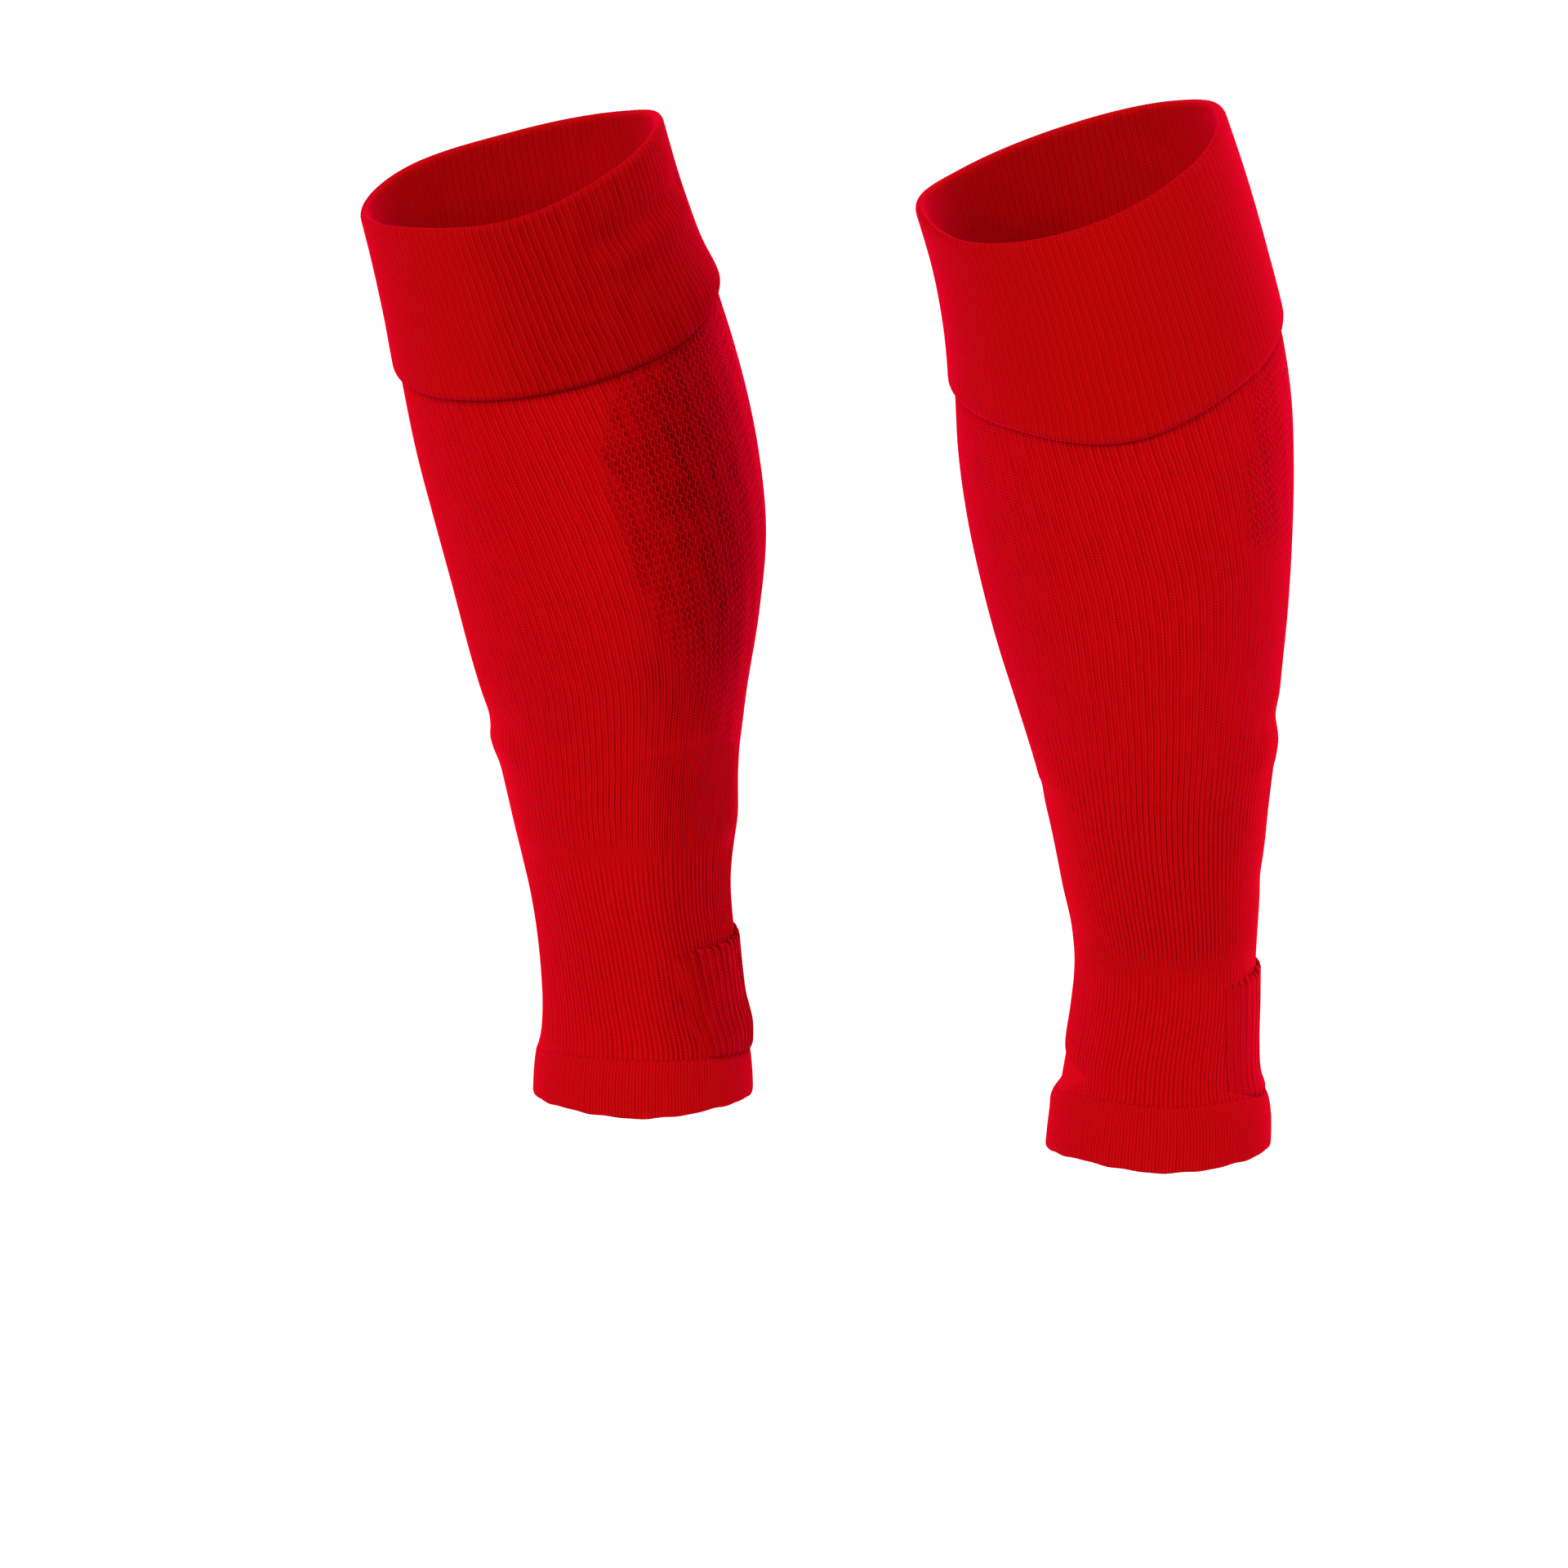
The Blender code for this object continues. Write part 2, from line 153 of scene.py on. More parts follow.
LEFT_FOLDS = [
    Fold(356.0, 325.0, 300.0, 323.0, -1.7, 5.5),
    Fold(353.0, 318.0, 300.0, 315.0, 0.9, 4.5),
    Fold(335.0, 292.0, 375.0, 292.0, 0.7, 6.0),
    Fold(150.0, 152.0, 215.0, 150.0, -0.5, 6.0),
    Fold(155.0, 138.0, 210.0, 139.0, 1.2, 6.0),
    Fold(20.0, 141.0, 95.0, 146.0, -0.7, 7.0),
    Fold(335.0, 104.0, 400.0, 101.0, 0.6, 9.0),
    Fold(60.0, 318.0, 118.0, 322.0, -1.0, 7.0),
]

RIGHT_FOLDS = [
    Fold(330.0, 159.0, 390.0, 157.0, -1.0, 5.5),
    Fold(330.0, 148.0, 385.0, 147.0, 0.8, 5.0),
    Fold(150.0, 141.0, 205.0, 138.0, -0.5, 5.0),
    Fold(160.0, 33.0, 215.0, 31.0, -0.7, 4.0),
    Fold(155.0, 18.0, 212.0, 19.0, 0.7, 3.5),
    Fold(330.0, 98.0, 380.0, 103.0, -0.6, 7.0),
    Fold(70.0, 152.0, 130.0, 146.0, -0.7, 7.0),
    Fold(80.0, 325.0, 125.0, 329.0, -0.9, 7.0),
]

# ---------------------------------------------------------------- the knit

LEG_RIBS = 128  # round each sock, in the leg and the cuff
HEM_RIBS = 102
HEEL_RIBS = 18
POINTS_PER_RIB = 4
POINTS_PER_HEEL_RIB = 8
COURSE = 1.14  # from one row of stitches to the next
CUFF_COURSE = 0.88
HEM_COURSE = 0.95
HEEL_COURSE = 1.3

# Rows of points in each part of a piece
LEG_ROWS = 150
COVERED_ROWS = 4
COLLAR_ROWS = 6
LINING_ROWS = 24
CUFF_ROWS = 46
CUFF_BACK_ROWS = 5
FOLD_ROWS = 8
HEEL_ROWS = 60
HEM_ROWS = 20
HEM_BACK_ROWS = 6

# How deep each point of a rib lies under its crown. A rib's four points are the shallow valley,
# the smooth wale, the groove and the wale of ladder bars. Two chains have eight points between
# them, because every other groove is shallower, and one heel rib has eight of its own.
LADDER_RELIEF = (0.20, 0.0, 0.26, 0.03)
LOW_RELIEF = (0.10, 0.03, 0.46, 0.0)  # the same ribs lower down, where they grow narrow
CUFF_RELIEF = (0.12, 0.04, 0.32, 0.0)
CHAIN_RELIEF = (0.36, 0.08, 0.0, 0.08, 0.28, 0.07, 0.0, 0.08)
NET_RELIEF = (0.12, 0.0, 0.12, 0.0)
HEEL_RELIEF = (0.55, 0.10, 0.0, 0.14, 0.42, 0.16, 0.22, 0.38)
PLAIN_RELIEF = (0.14, 0.0, 0.14, 0.0)
HEM_RELIEF = (0.10, 0.0, 0.14, 0.02)

# How far the ribs stray to each side, in degrees
LEG_WANDER = 0.16
CUFF_WANDER = 0.22
HEEL_WANDER = 0.9

# The ribs are drawn together at the back, wholly up to the first of these angles from the net's
# middle and not at all past the second. LEG_DEEPER and CUFF_DEEPER are how much deeper their
# relief is there. The same angles bound the painted shade that darkens the knit and its hollows
# at the back.
LEG_DRAWN_AND_SHADED = (45.0, 78.0)
CUFF_DRAWN_AND_SHADED = (70.0, 112.0)
LOW_DRAWN_AND_SHADED = 0.15  # how far they are drawn together all round the lower leg, deepening their relief and painted shade
LEG_DEEPER = 1.0
CUFF_DEEPER = 0.25

# The lower leg's ribs give way to the upper leg's between these rises
LOW_RISES = (125.0, 185.0)

# Small forms on the leg, each of which fades away over its reach
SEAM_SWELL = 0.42  # how far the knit swells out over the hem seam
SEAM_REACH = 2.4
PRESS_DEPTH = 0.4  # how far the cuff's lower edge presses it in
PRESS_REACH = 1.6
LINE_HEIGHT = 0.25  # the faint level line
LINE_REACH = 1.3
KNOT_HEIGHT = 0.9  # the knot at the heel patch's lower corner
KNOT_LIFT = 1.2
KNOT_REACH = 0.9
KNOT_TURN = 1.3  # degrees
COVERED_OUT = -0.5  # where the leg lies under the cuff
TUCKED_DOWN = 1.4  # how far it reaches down inside the hem

# Small forms on the other pieces
CUFF_EDGE_ROUNDING = 0.5
HEEL_HEAD_ROUNDING = 0.9
HEEL_TOP_STEP = 1.3
HEEL_FOOT_STEP = 0.9
SEAM_SCALLOP = 0.3  # the hem's upper edge rises between each two chains
SEAM_PINCH = 0.45
HEM_SWELL = 0.25

# The two halves of the fold at the rim meet between these shares of the way over it
LEG_FOLD_START = 0.50
CUFF_FOLD_END = 0.58
LEG_FOLD_UNDER = 0.08  # how far the leg's half lies under the cuff's there, and inside it
LEG_FOLD_INSIDE = 0.05

RIM_SHADE = 0.45  # how much painted shade darkens the fold on its inner side
CUFF_SHEEN = -0.35  # how much weaker the painted sheen towards the edges of the view is on the cuffs

# The half angle of the open net at the calf, by rise, to each side of its middle
NetRow = namedtuple("NetRow", "rise half_angle")

LEFT_NET = [
    NetRow(130.0, 0.0),
    NetRow(137.0, 17.0),
    NetRow(151.0, 34.0),
    NetRow(168.0, 48.0),
    NetRow(192.0, 60.0),
    NetRow(217.0, 68.0),
    NetRow(254.0, 70.0),
    NetRow(290.0, 50.0),
]

RIGHT_NET = [
    NetRow(150.0, 0.0),
    NetRow(165.0, 5.0),
    NetRow(180.0, 10.0),
    NetRow(195.0, 18.0),
    NetRow(211.0, 32.0),
    NetRow(222.0, 54.0),
    NetRow(230.0, 67.0),
    NetRow(257.0, 67.0),
    NetRow(296.0, 55.0),
]

# How far the ribs have turned round the leg by each rise
Twist = namedtuple("Twist", "rise turn")

LEFT_TWIST = [
    Twist(0.0, 0.0),
    Twist(17.0, 0.0),
    Twist(60.0, -4.2),
    Twist(100.0, -8.0),
    Twist(140.0, -5.0),
    Twist(160.0, -4.5),
    Twist(172.0, -5.2),
    Twist(195.0, -9.0),
    Twist(240.0, -16.8),
    Twist(287.0, -24.3),
    Twist(347.0, -30.3),
]

RIGHT_TWIST = [
    Twist(0.0, 0.0),
    Twist(21.0, 0.0),
    Twist(70.0, 4.0),
    Twist(130.0, 0.6),
    Twist(175.0, 4.6),
    Twist(215.0, 6.0),
    Twist(240.0, 3.0),
    Twist(291.0, -5.5),
    Twist(363.5, -11.5),
]

# One sock. Its place is in metres. The heel patch reaches up to heel_top, and to each side of
# heel_angle by its half angle, at its top and at its foot. The net's middle is at net_angle.
# chain_top is the rise under which the ribs are bold chains, and plain_low and plain_high bound
# the plain rows at the back, under the net. The leg's, net's, cuff's and heel's deep fields are how
# far the ribs there are drawn together at the back, from 0 to 1, which deepens the relief of the
# leg and cuff and darkens the knit with painted shade, and leg_depth and the like are how deep the
# knit's relief is. cuff_shadow is how dark the painted shadow is under the cuff's lower edge and on
# the leg just under it, and the field after it how strong the painted sheen towards the edges of
# the view is on the upper leg, where 1 is as strong as on the lower leg. A faint level line runs
# round the leg at line_rise.
Sock = namedtuple(
    "Sock",
    "name place sections edges folds heel_top heel_angle heel_half_top heel_half_foot"
    " net net_angle twist chain_top plain_low plain_high leg_deep net_deep cuff_deep heel_deep"
    " leg_depth low_depth cuff_depth heel_depth cuff_shadow upper_down line_rise",
)

SOCKS = [
    Sock(
        name="left",
        place=(-0.074, 0.027, -0.262),
        sections=LEFT_SECTIONS,
        edges=LEFT_EDGES,
        folds=LEFT_FOLDS,
        heel_top=61.0,
        heel_angle=343.0,
        heel_half_top=52.5,
        heel_half_foot=40.0,
        net=LEFT_NET,
        net_angle=347.0,
        twist=LEFT_TWIST,
        chain_top=100.0,
        plain_low=101.0,
        plain_high=138.0,
        leg_deep=0.5,
        net_deep=1.0,
        cuff_deep=0.8,
        heel_deep=0.8,
        leg_depth=1.0,
        low_depth=0.5,
        cuff_depth=0.82,
        heel_depth=1.0,
        cuff_shadow=0.8,
        upper_down=0.0,
        line_rise=141.0,
    ),
    Sock(
        name="right",
        place=(0.110, -0.027, -0.262),
        sections=RIGHT_SECTIONS,
        edges=RIGHT_EDGES,
        folds=RIGHT_FOLDS,
        heel_top=68.0,
        heel_angle=4.0,
        heel_half_top=55.0,
        heel_half_foot=50.0,
        net=RIGHT_NET,
        net_angle=20.0,
        twist=RIGHT_TWIST,
        chain_top=76.0,
        plain_low=76.0,
        plain_high=122.0,
        leg_deep=0.05,
        net_deep=0.3,
        cuff_deep=0.15,
        heel_deep=0.35,
        leg_depth=0.25,
        low_depth=1.4,
        cuff_depth=0.2,
        heel_depth=0.5,
        cuff_shadow=0.3,
        upper_down=-0.35,
        line_rise=143.0,
    ),
]


# ---------------------------------------------------------------- the form of a sock


def smooth_step(low, high, low_slope, high_slope, t):
    """A smooth curve from low to high as t goes from 0 to 1, with its slopes at the two ends."""
    return (
        (2 * t**3 - 3 * t**2 + 1) * low
        + (t**3 - 2 * t**2 + t) * low_slope
        + (3 * t**2 - 2 * t**3) * high
        + (t**3 - t**2) * high_slope
    )


def soft_mask(value, low, high):
    """0 below low, 1 above high, and smooth between."""
    t = np.clip((value - low) / (high - low), 0.0, 1.0)
    return t * t * (3 - 2 * t)


def near(distance, reach):
    """1 where the distance is 0, fading away past the reach."""
    return np.exp(-((distance / reach) ** 2))


def turn_from(angle, middle):
    """How many degrees an angle is past the middle, from -180 to 180."""
    return (angle - middle + 180.0) % 360.0 - 180.0


def column_of(rows, name):
    return np.array([getattr(row, name) for row in rows])


def size_at(rows, rise, name):
    """A column's value at each rise, on a smooth curve through the rows."""
    rises = column_of(rows, "rise")
    values = column_of(rows, name)
    above = np.minimum(np.arange(len(rows)) + 1, len(rows) - 1)
    below = np.maximum(np.arange(len(rows)) - 1, 0)
    slopes = (values[above] - values[below]) / (rises[above] - rises[below])
    row = np.clip(np.searchsorted(rises, rise) - 1, 0, len(rows) - 2)
    span = rises[row + 1] - rises[row]
    t = (rise - rises[row]) / span
    return smooth_step(values[row], values[row + 1], span * slopes[row], span * slopes[row + 1], t)


def edge_rise(edge, angle):
    """The rise of an edge of the cloth at each angle, on a smooth curve through its places."""
    lifts = np.array(edge[1:])
    place = angle % 360.0 / 360.0 * len(lifts)
    i = np.floor(place).astype(int)
    before, low, high, after = (lifts[(i + step) % len(lifts)] for step in (-1, 0, 1, 2))
    lift = smooth_step(low, high, 0.5 * (high - before), 0.5 * (after - low), place - i)
    return edge.rise + lift


def fold_height(sock, rise, angle):
    """How far the folds move the cloth out at each place."""
    girth = size_at(sock.sections, rise, "half_width")
    total = np.zeros(np.broadcast(rise, angle).shape)
    for fold in sock.folds:
        turn = turn_from(angle, fold.from_angle)
        along_x = np.radians(fold.to_angle - fold.from_angle) * girth
        along_y = fold.to_rise - fold.from_rise
        here_x = np.radians(turn) * girth
        here_y = rise - fold.from_rise
        t = (here_x * along_x + here_y * along_y) / (along_x**2 + along_y**2)
        t = np.clip(t, 0.0, 1.0)
        far = np.hypot(here_x - t * along_x, here_y - t * along_y)
        total += fold.height * near(far, fold.width)
    return total


def cloth_points(sock, rise, angle, out):
    """The points at these rises and angles, this far outside the leg tube's outer face."""
    half_width = size_at(sock.sections, rise, "half_width")
    half_depth = size_at(sock.sections, rise, "half_depth")
    across = size_at(sock.sections, rise, "across")
    tilt = np.radians(size_at(sock.sections, rise, "tilt"))
    turn = np.radians(angle)
    fullness = 1 + CALF_FULLNESS * np.cos(turn)
    normal_x = half_depth * (np.cos(turn) * fullness - CALF_FULLNESS * np.sin(turn) ** 2)
    normal_y = half_width * np.sin(turn)
    moved = (out + fold_height(sock, rise, angle)) / np.hypot(normal_x, normal_y)
    x = half_width * np.cos(turn) + normal_x * moved
    y = half_depth * np.sin(turn) * fullness + normal_y * moved
    lifted = np.stack([across + x * np.cos(tilt), y, rise + x * np.sin(tilt)], axis=-1)
    return np.array(sock.place) + MM * lifted


def leg_rise(sock, rise, angle):
    """The rise along a line round the leg, which follows the nearer edge's waves."""
    seam, cuff = (sock.edges[name] for name in ("seam", "cuff"))
    t = (rise - seam.rise) / (cuff.rise - seam.rise)
    near_seam = (1 - t) ** EDGE_FADE
    near_cuff = t**EDGE_FADE
    seam_wave = edge_rise(seam, angle) - seam.rise + SEAM_GAP
    cuff_wave = edge_rise(cuff, angle) - cuff.rise
    return rise + near_seam * seam_wave + near_cuff * cuff_wave


def between(low, high, t):
    return low + t * (high - low)


# ---------------------------------------------------------------- pieces as grids of points


def rib_depth(relief, columns, weight=1.0):
    """How far the knit lies under its crowns at each column of points."""
    depths = np.array(relief)
    return -weight * depths[np.arange(columns) % len(depths)]


def corner_values(values, faces_rows, faces_columns):
    """A grid's values at the four corners of each face, in the faces' order."""
    r = faces_rows.ravel()
    c = faces_columns.ravel()
    return np.stack([values[r, c], values[r, c + 1], values[r + 1, c + 1], values[r + 1, c]], 1)


def finish_piece(name, points, faces, layers, masks, material):
    """A piece from its points and faces, its maps by corner and its masks by point."""
    mesh = bpy.data.meshes.new(name)
    mesh.from_pydata(points.tolist(), [], faces.tolist())
    for layer, places in layers.items():
        made = mesh.uv_layers.new(name=layer)
        made.data.foreach_set("uv", places.reshape(-1).astype(np.float32))
    for mask, amounts in masks.items():
        made = mesh.attributes.new(mask, "FLOAT", "POINT")
        made.data.foreach_set("value", amounts.reshape(-1).astype(np.float32))
    mesh.shade_smooth()
    mesh.materials.append(material)
    piece = bpy.data.objects.new(name, mesh)
    bpy.context.scene.collection.objects.link(piece)
    return piece


def row_steps(points):
    """The mean way along the cloth from each row of points to the next, and back to the first."""
    closed = np.concatenate([points, points[:1]])
    return np.linalg.norm(np.diff(closed, axis=0), axis=2).mean(axis=1)


def row_places(steps):
    """How far along each row lies, and the first one once more where the grid closes."""
    return np.concatenate([[0.0], np.cumsum(steps)])


def tube_piece(name, points, ribs, course, masks, material, weights=1.0):
    """A wall that is closed round the sock and round its own section, row after row. The weights
    say how much room each row gets in the bake's map."""
    rows, columns = points.shape[:2]
    r, c = np.meshgrid(np.arange(rows), np.arange(columns), indexing="ij")
    next_r = (r + 1) % rows
    next_c = (c + 1) % columns
    corners = [(r, c), (r, next_c), (next_r, next_c), (next_r, c)]
    faces = np.stack([(row * columns + column).ravel() for row, column in corners], 1)
    steps = row_steps(points)
    across, up = np.meshgrid(np.linspace(0, ribs, columns + 1), row_places(steps) / MM / course)
    steps = steps * weights
    chart_x, chart_y = np.meshgrid(np.linspace(0, 1, columns + 1), row_places(steps) / steps.sum())
    layers = {
        "knit": np.stack([corner_values(across, r, c), corner_values(up, r, c)], -1),
        "OFBake": np.stack([corner_values(chart_x, r, c), corner_values(chart_y, r, c)], -1),
    }
    return finish_piece(name, points.reshape(-1, 3), faces, layers, masks, material)


# Where a patch's two faces and the strip round its edge lie in the bake's map, from side to side,
# and how far up it the faces reach
Chart = namedtuple("Chart", "left right")

FRONT_CHART = Chart(0.02, 0.60)
BACK_CHART = Chart(0.64, 0.86)
STRIP_CHART = Chart(0.90, 0.98)
CHART_HEIGHT = (0.02, 0.98)


def patch_piece(name, outer, inner, wales, courses, masks, material):
    """A closed wall between two grids of points with the same rows and columns."""
    rows, columns = outer.shape[:2]
    r, c = np.meshgrid(np.arange(rows - 1), np.arange(columns - 1), indexing="ij")
    number = np.arange(rows * columns).reshape(rows, columns)
    front = corner_values(number, r, c)
    back = front[:, ::-1] + rows * columns
    rim = np.concatenate([number[0], number[1:, -1], number[-1, -2::-1], number[-2:0:-1, 0]])
    after = np.roll(rim, -1)
    edge = np.stack([rim + rows * columns, after + rows * columns, after, rim], 1)
    faces = np.concatenate([front, back, edge])
    across, up = np.meshgrid(wales, courses)
    knit = np.stack([across.ravel(), up.ravel()], -1)
    knit = np.concatenate([knit, knit])
    chart_x, chart_y = np.meshgrid(np.linspace(0, 1, columns), np.linspace(0, 1, rows))
    chart_y = between(*CHART_HEIGHT, chart_y.ravel())
    sides = (between(*side, chart_x.ravel()) for side in (FRONT_CHART, BACK_CHART))
    chart = np.concatenate([np.stack([side, chart_y], -1) for side in sides])[faces]
    along = np.linspace(0, 1, len(rim) + 1)
    strip = chart[-len(edge) :]
    strip[:, :2, 0] = STRIP_CHART.left
    strip[:, 2:, 0] = STRIP_CHART.right
    strip[:, [0, 3], 1] = along[:-1, None]
    strip[:, [1, 2], 1] = along[1:, None]
    layers = {"knit": knit[faces], "OFBake": chart}
    points = np.concatenate([outer.reshape(-1, 3), inner.reshape(-1, 3)])
    masks = {mask: np.concatenate([amounts.ravel()] * 2) for mask, amounts in masks.items()}
    return finish_piece(name, points, faces, layers, masks, material)


# ---------------------------------------------------------------- zones of the leg's knit


UNDER_NET = -30.0  # the net's half angle under its lowest row
NET_BORDER = 3.0  # degrees that its soft border reaches to each side
CHAIN_BORDER = 10.0  # the same for the chains, in millimetres


def away_from_back(sock, angle):
    """How many degrees a place is from the middle of the net."""
    return np.abs(turn_from(angle, sock.net_angle))


def into_net(sock, rise, angle):
    """How many degrees inside the net's border a place is."""
    rises = column_of(sock.net, "rise")
    half = np.interp(rise, rises, column_of(sock.net, "half_angle"), left=UNDER_NET)
    return half - away_from_back(sock, angle)


def net_mask(sock, rise, angle):
    """1 in the open net at the calf and 0 outside it."""
    return soft_mask(into_net(sock, rise, angle), -NET_BORDER, NET_BORDER)


def net_depth_and_shade(sock, rise, angle):
    """How open the net is, which deepens its relief and darkens its holes with painted shade: its
    cells grow from its borders inwards, but less in its middle.
    """
    grown = between(0.35, 1.0, soft_mask(into_net(sock, rise, angle), 0.0, 34.0))
    return grown * between(0.45, 1.0, soft_mask(away_from_back(sock, angle), 2.0, 30.0))


def drawn_and_shaded_mask(sock, angle, full, none):
    """1 at the back of the sock, where the ribs are drawn together and painted shade darkens them,
    and 0 at the front.
    """
    return 1 - soft_mask(away_from_back(sock, angle), full, none)


def chain_mask(sock, rise):
    """1 where the ribs are bold chains, round the ankle."""
    return 1 - soft_mask(rise, sock.chain_top - CHAIN_BORDER, sock.chain_top + CHAIN_BORDER)


def plain_mask(sock, rise, angle):
    """1 in the plain rows at the back, under the net."""
    away = away_from_back(sock, angle)
    rows = soft_mask(rise, sock.plain_low - 1, sock.plain_low + 1)
    rows *= 1 - soft_mask(rise, sock.plain_high - 2, sock.plain_high + 6)
    return rows * (1 - soft_mask(away, 50, 80))


def turn_at(sock, rise):
    return size_at(sock.twist, rise, "turn")


def rib_wander(rise, around, most):
    """How many degrees the ribs stray to one side and the other, as they do on a real knit."""
    turn = np.radians(around)
    slow = np.sin(rise / 5.3 + 3 * turn + 0.4) + 0.7 * np.sin(rise / 3.1 - 5 * turn + 2.0)
    return most * slow * 0.6


# ---------------------------------------------------------------- pieces


def places_round(columns):
    """A row of the angles of that many columns of points round a sock."""
    return 360.0 * np.arange(columns)[None, :] / columns


def fold_section(outer, share):
    """How far out and how far under the rim the fold's cloth lies, from its outer face (0) to its
    inner face (1)."""
    middle = 0.5 * (outer - LEG_WALL)
    half = 0.5 * (outer + LEG_WALL)
    out = middle + half * np.cos(pi * share)
    below = FOLD_ROUNDING * (1 - np.sin(pi * share))
    return out, below


def join_bands(*bands):
    """One grid from bands of rows, each given by its rises, its angles and how far out it lies."""
    wide = [np.broadcast_arrays(*band) for band in bands]
    return [np.concatenate(values) for values in zip(*wide)]


def build_leg(sock, material):
    """The leg, from inside the hem to the fold at the rim, and its inner face down again."""
    columns = LEG_RIBS * POINTS_PER_RIB
    around = places_round(columns)
    seam, cuff, rim = (sock.edges[name] for name in ("seam", "cuff", "rim"))
    level = np.linspace(seam.rise, cuff.rise, LEG_ROWS)[:, None]
    angle = around + turn_at(sock, level) + rib_wander(level, around, LEG_WANDER)
    rise = leg_rise(sock, level, angle)
    net = net_mask(sock, rise, angle)
    chain = chain_mask(sock, rise) * (1 - net)
    plain = plain_mask(sock, rise, angle) * (1 - net) * (1 - chain)
    ladder = 1 - net - chain - plain
    below = 1 - soft_mask(rise, *LOW_RISES)
    # The painted sheen towards the edges of the view is full on the lower leg
    rim_sheen_share = between(sock.upper_down, 1.0, below)
    low = below * ladder
    # The relief is deeper, and painted shade darkens the knit, where the ribs are drawn together at
    # the back, a little all round the lower leg, and in the net
    deep = sock.leg_deep * drawn_and_shaded_mask(sock, angle, *LEG_DRAWN_AND_SHADED) * (1 - net)
    deep = np.maximum(deep, LOW_DRAWN_AND_SHADED * low)
    deep = deep + sock.net_deep * net_depth_and_shade(sock, rise, angle) * net
    relief = (
        (ladder - low) * rib_depth(LADDER_RELIEF, columns, sock.leg_depth)
        + low * rib_depth(LOW_RELIEF, columns, sock.low_depth)
        + net * rib_depth(NET_RELIEF, columns)
        + chain * rib_depth(CHAIN_RELIEF, columns)
        + plain * rib_depth(PLAIN_RELIEF, columns)
    )
    gathered = near(level - seam.rise, SEAM_REACH)
    pressed = near(level - cuff.rise, PRESS_REACH)
    # Painted shade on the leg where the cuff's lower edge presses it in
    deep = np.maximum(deep, pressed)
    line = near(rise - sock.line_rise, LINE_REACH) * (1 - net)
    out = relief * (1 + LEG_DEEPER * deep) * (1 - 0.5 * gathered) + SEAM_SWELL * gathered
    out = out - PRESS_DEPTH * pressed + LINE_HEIGHT * line
    # The painted shade is lighter along the level line
    deep = deep * (1 - 0.8 * line)
    from_corner = turn_from(angle, sock.heel_angle - sock.heel_half_foot)
    knot = near(from_corner, KNOT_TURN) * near(level - seam.rise - KNOT_LIFT, KNOT_REACH)
    out = out + KNOT_HEIGHT * knot
    # The lower edge is sewn in between the hem's two layers
    tuck = (rise[:1] - [[TUCKED_DOWN], [0.5]], angle[:1], [[-0.4], [-0.1]])
    # Under the cuff
    top_angle = around + turn_at(sock, rim.rise)
    top = edge_rise(rim, top_angle)
    share = np.linspace(0, 1, COVERED_ROWS + 1)[1:, None]
    covered_rise = between(edge_rise(cuff, top_angle), top - FOLD_DEPTH - SEAM_GAP, share)
    covered = (covered_rise, top_angle, COVERED_OUT)
    # The inner half of the fold, just under the outer one, and the inner face down to the hem
    share = np.linspace(LEG_FOLD_START, 1.0, COLLAR_ROWS)[:, None]
    fold_out, under_rim = fold_section(CUFF_OUTSIDE, share)
    collar_rise = top - under_rim - LEG_FOLD_UNDER
    collar = (collar_rise, top_angle, fold_out - LEG_FOLD_INSIDE)
    down = (np.arange(1, LINING_ROWS + 1) / LINING_ROWS)[:, None] ** 1.5
    foot = leg_rise(sock, seam.rise, around) - TUCKED_DOWN
    lining_rise = between(collar_rise[-1:], foot, down)
    lining_angle = around + turn_at(sock, lining_rise.mean(axis=1, keepdims=True))
    lining = (lining_rise, lining_angle, -LEG_WALL)
    points = cloth_points(sock, *join_bands(tuck, (rise, angle, out), covered, collar, lining))
    sewn = np.zeros((2, columns))
    after = np.zeros((COVERED_ROWS + COLLAR_ROWS + LINING_ROWS, columns))
    lined = np.ones_like(after)
    lined[:COVERED_ROWS] = 0
    # Painted shade on the fold's inner side, fading down the inner face
    rim_painted_shade = RIM_SHADE * lined
    rim_painted_shade[COVERED_ROWS + COLLAR_ROWS :] *= (1 - down) ** 12
    shown = {"net": net, "chain": chain, "plain": plain, "low": low, "rim_sheen_share": rim_sheen_share, "deep": deep}
    masks = {name: np.concatenate([sewn, mask, after]) for name, mask in shown.items()}
    # A painted shadow on the leg just under the cuff's lower edge
    edge_painted_shadow = sock.cuff_shadow * pressed + 0 * rise
    masks["painted_shade"] = np.concatenate([sewn, edge_painted_shadow, rim_painted_shade])
    masks["inside"] = np.concatenate([sewn, 0 * rise, lined])
    weights = np.where(np.arange(len(points)) < LEG_ROWS + 2, 1.0, 0.5)
    name = f"{sock.name}_leg_knit"
    return tube_piece(name, points, LEG_RIBS, COURSE, masks, material, weights)


